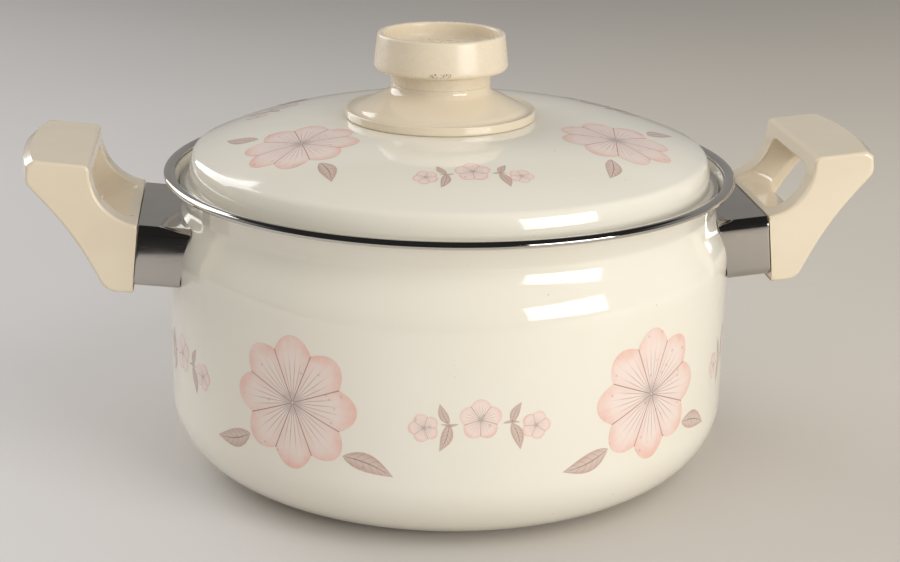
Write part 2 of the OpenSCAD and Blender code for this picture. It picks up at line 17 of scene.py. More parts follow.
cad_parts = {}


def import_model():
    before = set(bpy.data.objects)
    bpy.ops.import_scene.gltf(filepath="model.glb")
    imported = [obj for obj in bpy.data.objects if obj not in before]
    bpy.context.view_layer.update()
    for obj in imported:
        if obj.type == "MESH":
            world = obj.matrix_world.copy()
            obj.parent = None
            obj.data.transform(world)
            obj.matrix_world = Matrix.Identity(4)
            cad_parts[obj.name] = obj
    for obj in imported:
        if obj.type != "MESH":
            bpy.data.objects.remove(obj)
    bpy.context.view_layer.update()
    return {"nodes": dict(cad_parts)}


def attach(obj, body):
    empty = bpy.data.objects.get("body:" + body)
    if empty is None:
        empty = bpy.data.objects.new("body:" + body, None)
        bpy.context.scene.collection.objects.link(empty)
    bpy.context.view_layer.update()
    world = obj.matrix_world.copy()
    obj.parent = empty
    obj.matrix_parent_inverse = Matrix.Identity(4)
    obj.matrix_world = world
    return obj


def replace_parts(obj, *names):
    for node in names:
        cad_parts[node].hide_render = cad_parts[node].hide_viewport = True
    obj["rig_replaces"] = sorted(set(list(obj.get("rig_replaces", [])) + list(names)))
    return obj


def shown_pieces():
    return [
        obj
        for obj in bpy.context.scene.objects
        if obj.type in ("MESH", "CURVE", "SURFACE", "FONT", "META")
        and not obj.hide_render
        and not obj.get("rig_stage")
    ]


log = logging.getLogger("dutch_oven")

MM = 0.001
Grid = np.ndarray
Colour = tuple[float, float, float]


# Surfaces


def arc(cx: float, cy: float, rx: float, ry: float, start: float, end: float, n: int) -> Grid:
    """Points of an elliptical arc: (cx + rx cos a, cy + ry sin a), a in degrees from start to end.

    Args:
        cx: centre, first coordinate.
        cy: centre, second coordinate.
        rx: radius along the first coordinate.
        ry: radius along the second coordinate.
        start: first angle.
        end: last angle.
        n: number of points.

    Returns:
        Array of n rows and 2 columns.
    """
    a = np.radians(np.linspace(start, end, n))
    return np.stack([cx + rx * np.cos(a), cy + ry * np.sin(a)], -1)


def line(p: tuple[float, float], q: tuple[float, float], n: int) -> Grid:
    """Points p + (q - p) t with t from 0 to 1.

    Args:
        p: first point.
        q: last point.
        n: number of points.

    Returns:
        Array of n rows and 2 columns.
    """
    t = np.linspace(0.0, 1.0, n)[:, None]
    return np.asarray(p, float) * (1 - t) + np.asarray(q, float) * t


def chain(*parts: Grid) -> Grid:
    """Joins polylines end to end and drops points that repeat the one before.

    Args:
        parts: polylines of two columns.

    Returns:
        One polyline.
    """
    points = np.concatenate(parts)
    step = np.linalg.norm(np.diff(points, axis=0), axis=1)
    return points[np.concatenate([[True], step > 1e-6])]


def resample(points: Grid, n: int) -> Grid:
    """Spreads n points evenly by length along a polyline.

    Args:
        points: polyline of any number of columns.
        n: number of points wanted.

    Returns:
        Array of n rows.
    """
    step = np.linalg.norm(np.diff(points, axis=0), axis=1)
    length = np.concatenate([[0.0], np.cumsum(step)])
    wanted = np.linspace(0.0, length[-1], n)
    return np.stack([np.interp(wanted, length, column) for column in points.T], -1)


def ray_ends(inside: Callable[[Grid], Grid], count: int, limit: float) -> Grid:
    """Finds by 44 halvings how far each ray stays inside a shape.

    Args:
        inside: tells for a column of distances, one per ray, which are inside.
        count: number of rays.
        limit: a distance that is outside on every ray.

    Returns:
        Column of distances.
    """
    low, high = np.zeros((count, 1)), np.full((count, 1), limit)
    for _ in range(44):
        half = (low + high) / 2
        kept = inside(half)
        low, high = np.where(kept, half, low), np.where(kept, high, half)
    return low


def cell_faces(rows: int, columns: int, wrap_rows: bool, wrap_columns: bool) -> Grid:
    """Quads of a grid whose point (i, j) has the number i * columns + j.

    Args:
        rows: number of grid rows.
        columns: number of grid columns.
        wrap_rows: True if the last row joins the first.
        wrap_columns: True if the last column joins the first.

    Returns:
        Array of quads, four point numbers each.
    """
    i = np.arange(rows if wrap_rows else rows - 1)
    j = np.arange(columns if wrap_columns else columns - 1)
    i, j = (g.ravel() for g in np.meshgrid(i, j, indexing="ij"))
    down, right = (i + 1) % rows, (j + 1) % columns
    return np.stack([i * columns + j, down * columns + j, down * columns + right, i * columns + right], -1)


def facing_out(points: Grid, faces: list[list[int]]) -> list[list[int]]:
    """Turns every face round if the closed surface encloses a negative volume.

    The volume is the sum of p0 . (p1 x p2) / 6 over the fan triangles of each face.

    Args:
        points: vertex positions.
        faces: faces of three or four point numbers.

    Returns:
        The faces, with outward normals.
    """
    corners = np.array([(f[0], f[1], f[2]) for f in faces]
                       + [(f[0], f[2], f[3]) for f in faces if len(f) > 3])
    p, q, r = (points[corners[:, k]] for k in range(3))
    volume = np.einsum("ij,ij->i", p, np.cross(q, r)).sum()
    return faces if volume >= 0 else [face[::-1] for face in faces]


def make_piece(name: str, points: Grid, faces: list[list[int]], closed: bool = True,
               uv: Grid | None = None) -> bpy.types.Object:
    """Puts a surface into a new smooth object at the origin.

    Args:
        name: name of the piece.
        points: vertex positions in millimetres.
        faces: faces as point numbers.
        closed: True if the surface encloses a volume, so that its faces can be turned outward.
        uv: one pair of surface coordinates per vertex, or None.

    Returns:
        The new object, linked to the scene.
    """
    if closed:
        faces = facing_out(points, faces)
    mesh = bpy.data.meshes.new(name)
    mesh.from_pydata((points * MM).tolist(), [], faces)
    if uv is not None:
        corner = np.zeros(len(mesh.loops), np.int32)
        mesh.loops.foreach_get("vertex_index", corner)
        layer = mesh.uv_layers.new(name="surface")
        layer.data.foreach_set("uv", uv[corner].astype(np.float32).ravel())
    mesh.validate()
    mesh.shade_smooth()
    piece = bpy.data.objects.new(name, mesh)
    bpy.context.scene.collection.objects.link(piece)
    return piece


def revolve(name: str, section: Grid, segments: int, ring: bool) -> bpy.types.Object:
    """Turns a half section round the Z axis: (r cos a, r sin a, z).

    Args:
        name: name of the piece.
        section: rows of (r, z). An open section starts and ends on the axis.
        segments: number of steps round the axis.
        ring: True if the section is a closed loop off the axis.

    Returns:
        The new object.
    """
    a = np.linspace(0.0, 2 * math.pi, segments, endpoint=False)
    body = section if ring else section[1:-1]
    points = np.stack([body[:, :1] * np.cos(a), body[:, :1] * np.sin(a),
                       np.repeat(body[:, 1:], segments, axis=1)], -1).reshape(-1, 3)
    faces = cell_faces(len(body), segments, ring, True).tolist()
    if not ring:
        first, last = len(points), len(points) + 1
        points = np.concatenate([points, [[0, 0, section[0, 1]], [0, 0, section[-1, 1]]]])
        j = np.arange(segments)
        k = (j + 1) % segments
        base = (len(body) - 1) * segments
        faces += np.stack([np.full(segments, first), j, k], -1).tolist()
        faces += np.stack([np.full(segments, last), base + k, base + j], -1).tolist()
    return make_piece(name, points, faces)


def rounded_box(w: float, h: float, r: float, n: int) -> Grid:
    """Closed outline of a box w by h with corner arcs of radius r, centred on the origin.

    Args:
        w: width.
        h: height.
        r: corner radius.
        n: points in each corner arc.

    Returns:
        Outline points, the first not repeated.
    """
    x, y = w / 2 - r, h / 2 - r
    return np.concatenate([arc(x, y, r, r, 0, 90, n), arc(-x, y, r, r, 90, 180, n),
                           arc(-x, -y, r, r, 180, 270, n), arc(x, -y, r, r, 270, 360, n)])


def superellipse(a: float, b: float, power: float, n: int) -> Grid:
    """Closed outline (a |cos t|^(2/p) sign cos t, b |sin t|^(2/p) sign sin t).

    Args:
        a: half width.
        b: half height.
        power: 2 is an ellipse, more is squarer.
        n: number of points.

    Returns:
        Outline points, the first not repeated.
    """
    t = np.linspace(0.0, 2 * math.pi, n, endpoint=False)
    c, s = np.cos(t), np.sin(t)
    return np.stack([a * np.sign(c) * np.abs(c) ** (2 / power),
                     b * np.sign(s) * np.abs(s) ** (2 / power)], -1)


# Finishes


class NodeWriter:
    """A short way to write the nodes of a material or of the world."""

    def __init__(self, owner: bpy.types.Material | bpy.types.World) -> None:
        """Empties the owner's node tree."""
        owner.use_nodes = True
        self.tree = owner.node_tree
        self.tree.nodes.clear()

    def put(self, value: object, socket: bpy.types.NodeSocket) -> None:
        """Sets a socket to a number or colour, or links it to another socket.

        Args:
            value: number, colour or output socket.
            socket: input socket.
        """
        if isinstance(value, bpy.types.NodeSocket):
            self.tree.links.new(value, socket)
        elif isinstance(value, tuple):
            socket.default_value = (*value, 1.0) if len(socket.default_value) == 4 else value
        else:
            socket.default_value = value

    def node(self, kind: str, inputs: dict[object, object] | None = None,
             **settings: object) -> bpy.types.Node:
        """Adds a node.

        Args:
            kind: node type without its "ShaderNode" prefix.
            inputs: values or sockets for its inputs, by name or number.
            settings: attributes of the node.

        Returns:
            The node.
        """
        made = self.tree.nodes.new("ShaderNode" + kind)
        for key, value in settings.items():
            setattr(made, key, value)
        for key, value in (inputs or {}).items():
            self.put(value, made.inputs[key])
        return made

    def place(self, source: str = "Object") -> bpy.types.NodeSocket:
        """Output socket of the texture coordinates, by its name."""
        return self.node("TexCoord").outputs[source]

    def noise(self, scale: float, detail: float = 2.0, rough: float = 0.5,
              vector: bpy.types.NodeSocket | None = None) -> bpy.types.NodeSocket:
        """Adds a noise texture on object coordinates.

        Args:
            scale: features per metre.
            detail: octaves.
            rough: weight of the finer octaves.
            vector: other coordinates, or None.

        Returns:
            Its value from 0 to 1.
        """
        return self.node("TexNoise", {"Vector": vector or self.place(), "Scale": scale, "Detail": detail,
                                      "Roughness": rough}).outputs[0]

    def math(self, operation: str, a: object, b: object = 0.0, clamp: bool = False) -> bpy.types.NodeSocket:
        """Adds a math node.

        Args:
            operation: name of the operation.
            a: first value or socket.
            b: second value or socket.
            clamp: True to keep the result within 0 and 1.

        Returns:
            The result.
        """
        return self.node("Math", {0: a, 1: b}, operation=operation, use_clamp=clamp).outputs[0]

    def step(self, value: object, low: float, high: float, to_low: float = 0.0,
             to_high: float = 1.0) -> bpy.types.NodeSocket:
        """Maps low to to_low and high to to_high with a smooth step between.

        Args:
            value: socket to map.
            low: value that gives to_low.
            high: value that gives to_high.
            to_low: result at low.
            to_high: result at high.

        Returns:
            The mapped value.
        """
        return self.node("MapRange", {0: value, 1: low, 2: high, 3: to_low, 4: to_high},
                         interpolation_type="SMOOTHSTEP").outputs[0]

    def mix(self, share: object, a: object, b: object) -> bpy.types.NodeSocket:
        """Mixes two colours.

        Args:
            share: 0 gives a and 1 gives b.
            a: first colour or socket.
            b: second colour or socket.

        Returns:
            The mixed colour.
        """
        made = self.node("Mix", data_type="RGBA")
        self.put(share, made.inputs[0])
        self.put(a, made.inputs[6])
        self.put(b, made.inputs[7])
        return made.outputs[2]

    def bump(self, height: object, distance: float,
             under: bpy.types.NodeSocket | None = None) -> bpy.types.NodeSocket:
        """Adds a bump node.

        Args:
            height: height from 0 to 1.
            distance: what a height of 1 stands for, in metres.
            under: normal of the layer below, or None.

        Returns:
            The normal.
        """
        inputs = {"Height": height, "Distance": distance, "Strength": 1.0}
        if under is not None:
            inputs["Normal"] = under
        return self.node("Bump", inputs).outputs[0]


class Shader(NodeWriter):
    """Writes a material around one principled shader."""

    def __init__(self, name: str) -> None:
        """Starts a material with a principled shader on its output."""
        self.material = bpy.data.materials.new(name)
        super().__init__(self.material)
        self.body = self.node("BsdfPrincipled")
        self.node("OutputMaterial", {0: self.body.outputs[0]})

    def enamel_wave(self) -> bpy.types.NodeSocket:
        """Normal of the slow waviness of fired enamel, the same beside and under the print."""
        return self.bump(self.noise(38.0, 1.0), 0.00022)

    def finish(self, **sockets: object) -> bpy.types.Material:
        """Fills the principled shader.

        Args:
            sockets: values by socket name, with underscores for spaces.

        Returns:
            The material.
        """
        for name, value in sockets.items():
            self.put(value, self.body.inputs[name.replace("_", " ")])
        return self.material


@dataclass(frozen=True)
class EnamelFinish:
    """Fired vitreous enamel: a slightly wavy gloss with faint specks and tone changes."""

    colour: Colour = (0.815, 0.772, 0.668)
    warm: Colour = (0.79, 0.735, 0.60)
    speck: Colour = (0.36, 0.30, 0.22)
    roughness: float = 0.07

    def material(self) -> bpy.types.Material:
        """Builds the material."""
        s = Shader("enamel")
        tone = s.step(s.noise(14.0, 2.0), 0.3, 0.75)
        base = s.mix(s.math("MULTIPLY", tone, 0.35), self.colour, self.warm)
        cells = s.node("TexVoronoi", {"Vector": s.place(), "Scale": 190.0}, feature="F1")
        keep = s.math("GREATER_THAN", s.node("SeparateColor", {0: cells.outputs[1]}).outputs[0], 0.93)
        dot = s.math("MULTIPLY", s.step(cells.outputs[0], 0.04, 0.09, 1.0, 0.0), keep)
        base = s.mix(s.math("MULTIPLY", dot, 0.5), base, self.speck)
        peel = s.bump(s.noise(420.0, 2.0), 0.0000045, s.enamel_wave())
        rough = s.step(s.noise(90.0, 3.0), 0.35, 0.75, self.roughness, self.roughness + 0.05)
        return s.finish(Base_Color=base, Roughness=rough, IOR=1.5, Coat_Weight=0.35, Coat_Roughness=0.03,
                        Normal=peel)


@dataclass(frozen=True)
class PhenolicFinish:
    """Moulded phenolic: cream gloss with flow marks and, on the knob's head, a short row of small chips.

    The chips lie on the front, at the height chip_z and about chip_x, in metres.
    """

    colour: Colour = (0.765, 0.665, 0.505)
    deep: Colour = (0.68, 0.56, 0.39)
    chip: Colour = (0.16, 0.11, 0.08)
    roughness: float = 0.12
    coat: float = 0.3
    chips: bool = False
    chip_x: float = -0.0078
    chip_z: float = 0.1789

    def material(self) -> bpy.types.Material:
        """Builds the material."""
        s = Shader("phenolic_chipped" if self.chips else "phenolic")
        flow = s.node("Mapping", {"Vector": s.place(), "Scale": (1.0, 1.0, 1.5)}).outputs[0]
        tone = s.step(s.noise(26.0, 3.0, 0.55, flow), 0.3, 0.72)
        base = s.mix(s.math("MULTIPLY", tone, 0.22), self.colour, self.deep)
        fleck = s.step(s.noise(900.0, 1.0), 0.7, 0.78)
        base = s.mix(s.math("MULTIPLY", fleck, 0.16), base, self.deep)
        if self.chips:
            x, y, z = s.node("SeparateXYZ", {0: s.place()}).outputs
            level = s.math("ABSOLUTE", s.math("SUBTRACT", z, self.chip_z))
            across = s.math("ABSOLUTE", s.math("SUBTRACT", x, self.chip_x))
            band = s.math("MULTIPLY", s.step(level, 0.0007, 0.0013, 1.0, 0.0),
                          s.step(across, 0.0042, 0.0050, 1.0, 0.0))
            mark = s.math("MULTIPLY", band, s.math("LESS_THAN", y, 0.0))
            grit = s.step(s.noise(1500.0, 2.0, 0.6), 0.5, 0.6)
            base = s.mix(s.math("MULTIPLY", mark, grit), base, self.chip)
        wave = s.bump(s.noise(55.0, 1.0), 0.00012)
        fine = s.bump(s.noise(1400.0, 2.0), 0.0000035, wave)
        rough = s.step(s.noise(130.0, 4.0, 0.6), 0.35, 0.75, self.roughness, self.roughness + 0.04)
        return s.finish(Base_Color=base, Roughness=rough, IOR=1.54, Coat_Weight=self.coat,
                        Coat_Roughness=0.04, Normal=fine)


@dataclass(frozen=True)
class SteelFinish:
    """Polished stainless sheet with drawn lines, hairline scratches and a faint haze."""

    name: str = "band_steel"
    colour: Colour = (0.62, 0.60, 0.57)
    roughness: float = 0.085
    along: tuple[float, float, float] = (1.0, 1.0, 30.0)
    scratch: float = 0.5

    def material(self) -> bpy.types.Material:
        """Builds the material."""
        s = Shader(self.name)
        drawn = s.node("Mapping", {"Vector": s.place(), "Scale": self.along}).outputs[0]
        lines = s.noise(60.0, 6.0, 0.7, drawn)
        turned = s.node("Mapping", {"Vector": s.place(), "Scale": (3.0, 160.0, 160.0),
                                    "Rotation": (0.5, 0.35, 0.9)}).outputs[0]
        hair = s.step(s.noise(34.0, 2.0, 0.5, turned), 0.66, 0.74)
        rough = s.step(lines, 0.3, 0.8, self.roughness * 0.85, self.roughness * 1.25)
        rough = s.math("ADD", rough, s.math("MULTIPLY", hair, 0.14 * self.scratch), True)
        base = s.mix(s.step(s.noise(45.0, 3.0), 0.35, 0.7, 0.0, 0.35), self.colour,
                     tuple(c * 0.82 for c in self.colour))
        normal = s.bump(lines, 0.000001)
        normal = s.bump(hair, 0.000006 * self.scratch, normal)
        return s.finish(Base_Color=base, Metallic=1.0, Roughness=rough, Normal=normal)


@dataclass(frozen=True)
class FixingFinish:
    """Plated or turned metal of the small hidden fixings."""

    name: str = "fixing_steel"
    colour: Colour = (0.50, 0.49, 0.47)
    roughness: float = 0.34

    def material(self) -> bpy.types.Material:
        """Builds the material."""
        s = Shader(self.name)
        grain = s.noise(700.0, 4.0, 0.6)
        stain = s.step(s.noise(120.0, 3.0), 0.4, 0.75)
        base = s.mix(s.math("MULTIPLY", stain, 0.5), self.colour, tuple(c * 0.6 for c in self.colour))
        return s.finish(Base_Color=base, Metallic=1.0, Normal=s.bump(grain, 0.00001),
                        Roughness=s.step(grain, 0.3, 0.7, self.roughness * 0.8, self.roughness * 1.4))


@dataclass(frozen=True)
class RubberFinish:
    """Dark moulded rubber of the ring under the knob."""

    colour: Colour = (0.055, 0.045, 0.04)

    def material(self) -> bpy.types.Material:
        """Builds the material."""
        s = Shader("rubber")
        dust = s.step(s.noise(260.0, 4.0, 0.6), 0.45, 0.8)
        base = s.mix(s.math("MULTIPLY", dust, 0.4), self.colour, tuple(c * 2.4 for c in self.colour))
        return s.finish(Base_Color=base, Roughness=s.step(dust, 0.0, 1.0, 0.55, 0.8),
                        Normal=s.bump(s.noise(1200.0, 2.0), 0.00002))


class Motif(Enum):
    """What a print shader draws on its surface coordinates."""

    PETALS = "print_rose"
    LEAVES = "print_taupe"


@dataclass(frozen=True)
class PrintFinish:
    """Print fired into the enamel: soft washes with fine drawn lines, under the same gloss.

    The surface coordinates are (petals or leaves passed, share of the radius or length).
    """

    motif: Motif
    pale: Colour = (0.83, 0.69, 0.615)
    wash: Colour = (0.80, 0.47, 0.38)
    ink: Colour = (0.23, 0.17, 0.155)
    roughness: float = 0.075

    def material(self) -> bpy.types.Material:
        """Builds the material."""
        s = Shader(self.motif.value)
        u, v, _ = s.node("SeparateXYZ", {0: s.place("UV")}).outputs
        across = s.math("ABSOLUTE", s.math("SUBTRACT", s.math("FRACT", u), 0.5))
        patch = s.noise(95.0, 3.0, 0.55)
        if self.motif is Motif.PETALS:
            outer = s.step(s.math("ADD", v, s.math("MULTIPLY", patch, 0.35)), 0.88, 1.28)
            flank = s.step(across, 0.2, 0.5)
            wash = s.math("MAXIMUM", outer, s.math("MULTIPLY", flank, 0.32))
            heart = s.step(v, 0.1, 0.24, 1.0, 0.0)
            border = s.step(s.math("MULTIPLY", s.math("SUBTRACT", 0.5, across), v), 0.006, 0.016, 1.0, 0.0)
            veins = s.math("ABSOLUTE", s.math("SUBTRACT", s.math("FRACT", s.math("MULTIPLY", u, 5.0)), 0.5))
            vein = s.step(s.math("MULTIPLY", s.math("SUBTRACT", 0.5, veins), v), 0.02, 0.07, 1.0, 0.0)
            vein = s.math("MULTIPLY", vein, s.step(v, 0.45, 0.8, 0.45, 0.05))
            drawn = s.math("MAXIMUM", s.math("MULTIPLY", border, 0.8), vein)
            drawn = s.math("MAXIMUM", drawn, s.math("MULTIPLY", heart, 0.35))
        else:
            wash = s.step(across, 0.1, 0.5, 0.1, 0.75)
            rib = s.step(across, 0.0, 0.06, 1.0, 0.0)
            comb = s.math("ABSOLUTE", s.math("SUBTRACT", s.math("FRACT", s.math("MULTIPLY", s.math(
                "SUBTRACT", v, s.math("MULTIPLY", across, 0.35)), 7.0)), 0.5))
            drawn = s.math("MAXIMUM", s.math("MULTIPLY", rib, 0.85), s.step(comb, 0.0, 0.1, 0.45, 0.0))
        base = s.mix(s.math("MULTIPLY", wash, s.step(patch, 0.2, 0.7, 0.45, 1.0)), self.pale, self.wash)
        spots = s.node("TexVoronoi", {"Vector": s.place(), "Scale": 210.0}, feature="F1").outputs[0]
        base = s.mix(s.step(spots, 0.05, 0.2, 0.3, 0.0), base, self.ink)
        base = s.mix(drawn, base, self.ink)
        return s.finish(Base_Color=base, Roughness=self.roughness, IOR=1.5, Coat_Weight=0.35,
                        Coat_Roughness=0.03, Normal=s.enamel_wave())


def dress(piece: bpy.types.Object, material: bpy.types.Material) -> None:
    """Gives a piece or a node one material in place of all it has."""
    piece.data.materials.clear()
    piece.data.materials.append(material)


def settle(piece: bpy.types.Object, material: bpy.types.Material, slot: str, *nodes: str) -> None:
    """Dresses a new piece, seats it on the body and lets it stand for its nodes.

    Args:
        piece: the new piece.
        material: its material.
        slot: name of a material slot; not used.
        nodes: solids that it replaces.
    """
    dress(piece, material)
    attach(piece, "root")
    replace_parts(piece, *nodes)
    log.info("%s: %d faces, stands for %s", piece.name, len(piece.data.polygons), ", ".join(nodes))


# Pot


@dataclass
class Pot:
    """Deep-drawn shell with a round corner, a drawn-in neck and a flare that ends in a steel band."""

    belly_r: float = 124.4
    base_r: float = 85.2
    corner_h: float = 31.7
    belly_h: float = 96.0
    neck_h: float = 120.5
    neck_in: float = 6.6
    flare_out: float = 5.0
    flare_h: float = 10.5
    wall: float = 1.6
    floor: float = 3.2
    lift: float = 0.8
    foot_w: float = 12.0
    foot_soft: float = 0.8
    band_x: float = 123.35
    band_z: float = 132.3
    band_w: float = 4.9
    band_h: float = 3.4
    band_power: float = 2.08
    wall_end: float = 0.3
    segments: int = 288

    def flare(self, z: Grid) -> Grid:
        """Outer radius above the neck: neck + out * g(t)^1.15, with a soft start at the neck.

        Args:
            z: heights.

        Returns:
            Radii.
        """
        t = (z - self.neck_h) / self.flare_h
        soft = 0.06
        g = (np.sqrt(t ** 2 + soft ** 2) - soft) / (math.sqrt(1 + soft ** 2) - soft)
        return self.belly_r - self.neck_in + self.flare_out * g ** 1.15

    def side(self, inset: float, floor: float) -> Grid:
        """Half section from the foot to the band.

        The corner is an elliptical arc, the shoulder is r = R - in (1 - cos(pi s^1.2)) / 2 and the flare
        follows flare(z).

        Args:
            inset: distance inside the outer face.
            floor: height of the lowest point.

        Returns:
            Rows of (r, z).
        """
        corner = arc(self.base_r, self.corner_h, self.belly_r - self.base_r - inset, self.corner_h - floor,
                     -90, 0, 44)
        wall = line((self.belly_r - inset, self.corner_h), (self.belly_r - inset, self.belly_h), 14)
        s = np.linspace(0.0, 1.0, 44)
        drawn = self.belly_r - inset - self.neck_in * (1 - np.cos(math.pi * s ** 1.2)) / 2
        shoulder = np.stack([drawn, self.belly_h + (self.neck_h - self.belly_h) * s], -1)
        z = np.linspace(self.neck_h, self.band_z - self.wall_end, 24)
        flare = np.stack([self.flare(np.minimum(z, self.neck_h + self.flare_h)) - inset, z], -1)
        return chain(corner, wall, shoulder, flare)

    def outer_radius(self, z: Grid) -> Grid:
        """Outer radius of the wall at the given heights."""
        side = self.side(0.0, 0.0)
        return np.interp(z, side[:, 1], side[:, 0])

    def build_shell(self) -> bpy.types.Object:
        """Builds the shell as one closed surface of revolution."""
        inner_foot, soft, half = self.base_r - self.foot_w, self.foot_soft, self.lift / 2
        base = chain(line((0.0, self.lift), (inner_foot - soft, self.lift), 12),
                     arc(inner_foot - soft, half, soft, half, 90, 0, 5),
                     arc(inner_foot + soft, half, soft, half, 180, 270, 5),
                     line((inner_foot + soft, 0.0), (self.base_r, 0.0), 6))
        outer = self.side(0.0, 0.0)
        inner = self.side(self.wall, self.floor)[::-1]
        floor = line((self.base_r, self.floor), (0.0, self.floor), 14)
        return revolve("pot_shell", chain(base, outer, inner, floor), self.segments, False)

    def build_band(self) -> bpy.types.Object:
        """Builds the rolled band: a superellipse carried round the axis."""
        section = superellipse(self.band_w / 2, self.band_h / 2, self.band_power, 56)
        return revolve("rim_roll", section + (self.band_x, self.band_z), self.segments, True)

    def dress(self, enamel: bpy.types.Material, steel: bpy.types.Material) -> None:
        """Builds both pieces and seats them.

        Args:
            enamel: material of the shell.
            steel: material of the band.
        """
        settle(self.build_shell(), enamel, "enamel", "pot_body")
        settle(self.build_band(), steel, "band_steel", "rim_band")


# Lid


@dataclass
class Lid:
    """Pressed lid: flat crown, dome arc, rounded shoulder, leaning side and a banded flange."""

    top: float = 155.7
    crown_r: float = 46.5
    drop: float = 13.4
    edge_r: float = 111.1
    shoulder_r: float = 4.2
    side_r: float = 24.0
    side_lean: float = 19.0
    lean: float = 2.0
    bend: float = 2.0
    wall: float = 1.4
    seat_z: float = 127.5
    rim_r: float = 118.886
    hole_r: float = 2.8
    band_w: float = 2.6
    band_h: float = 3.2
    band_power: float = 2.3
    sheet_end: float = 0.6
    crown_points: int = 12
    dome_points: int = 56
    segments: int = 288

    def sheet(self, depth: float) -> Grid:
        """Half section of the sheet, depth under its top face.

        The dome is (crown + (R - d) sin a, top - R + (R - d) cos a) with R from its width w and its drop f,
        R = (w^2 + f^2) / 2 f. Shoulder, side and bend are arcs that meet tangentially.

        Args:
            depth: distance under the top face.

        Returns:
            Rows of (r, z) from the hole to the flange.
        """
        width = self.edge_r - self.crown_r
        radius = (width ** 2 + self.drop ** 2) / (2 * self.drop)
        reach = math.degrees(math.asin(width / radius))
        a = np.radians(np.linspace(0.0, reach, self.dome_points))
        big = radius - depth
        dome = np.stack([self.crown_r + big * np.sin(a), self.top - radius + big * np.cos(a)], -1)
        sx = self.edge_r - self.shoulder_r * math.sin(a[-1])
        sz = self.top - self.drop - self.shoulder_r * math.cos(a[-1])
        small = self.shoulder_r - depth
        shoulder = arc(sx, sz, small, small, 90 - reach, self.side_lean, 16)
        lean = math.radians(self.side_lean)
        far = self.shoulder_r - self.side_r
        cx, cz = sx + far * math.cos(lean), sz + far * math.sin(lean)
        wide_side = self.side_r - depth
        side = arc(cx, cz, wide_side, wide_side, self.side_lean, self.lean, 16)
        bz = self.seat_z + self.wall / 2 + self.bend
        end = math.radians(self.lean)
        bx = cx + self.side_r * math.cos(end) + self.bend + (cz - bz) * math.tan(end)
        wide = self.bend + depth
        bend = arc(bx, bz, wide, wide, 180 + self.lean, 270, 12)
        crown = line((self.hole_r, self.top - depth), (self.crown_r, self.top - depth), self.crown_points)
        return chain(crown, dome, shoulder, side, line(tuple(side[-1]), tuple(bend[0]), 4), bend,
                     line(tuple(bend[-1]), (self.rim_r - self.sheet_end, bend[-1][1]), 3))

    def height(self, r: Grid) -> Grid:
        """Height of the crown and dome at plan radius r."""
        top = self.sheet(0.0)[:self.crown_points + self.dome_points - 1]
        return np.interp(r, top[:, 0], top[:, 1])

    def build_sheet(self) -> bpy.types.Object:
        """Builds the sheet as a closed ring section carried round the axis."""
        section = np.concatenate([self.sheet(0.0), self.sheet(self.wall)[::-1]])
        return revolve("lid_shell", section, self.segments, True)

    def build_band(self) -> bpy.types.Object:
        """Builds the folded band: a superellipse carried round the axis."""
        section = superellipse(self.band_w / 2, self.band_h / 2, self.band_power, 40)
        return revolve("lid_roll", section + (self.rim_r - self.band_w / 2, self.seat_z), self.segments, True)

    def dress(self, enamel: bpy.types.Material, steel: bpy.types.Material) -> None:
        """Builds both pieces and seats them.

        Args:
            enamel: material of the sheet.
            steel: material of the band.
        """
        settle(self.build_sheet(), enamel, "enamel", "lid")
        settle(self.build_band(), steel, "band_steel", "lid_band")


# Knob


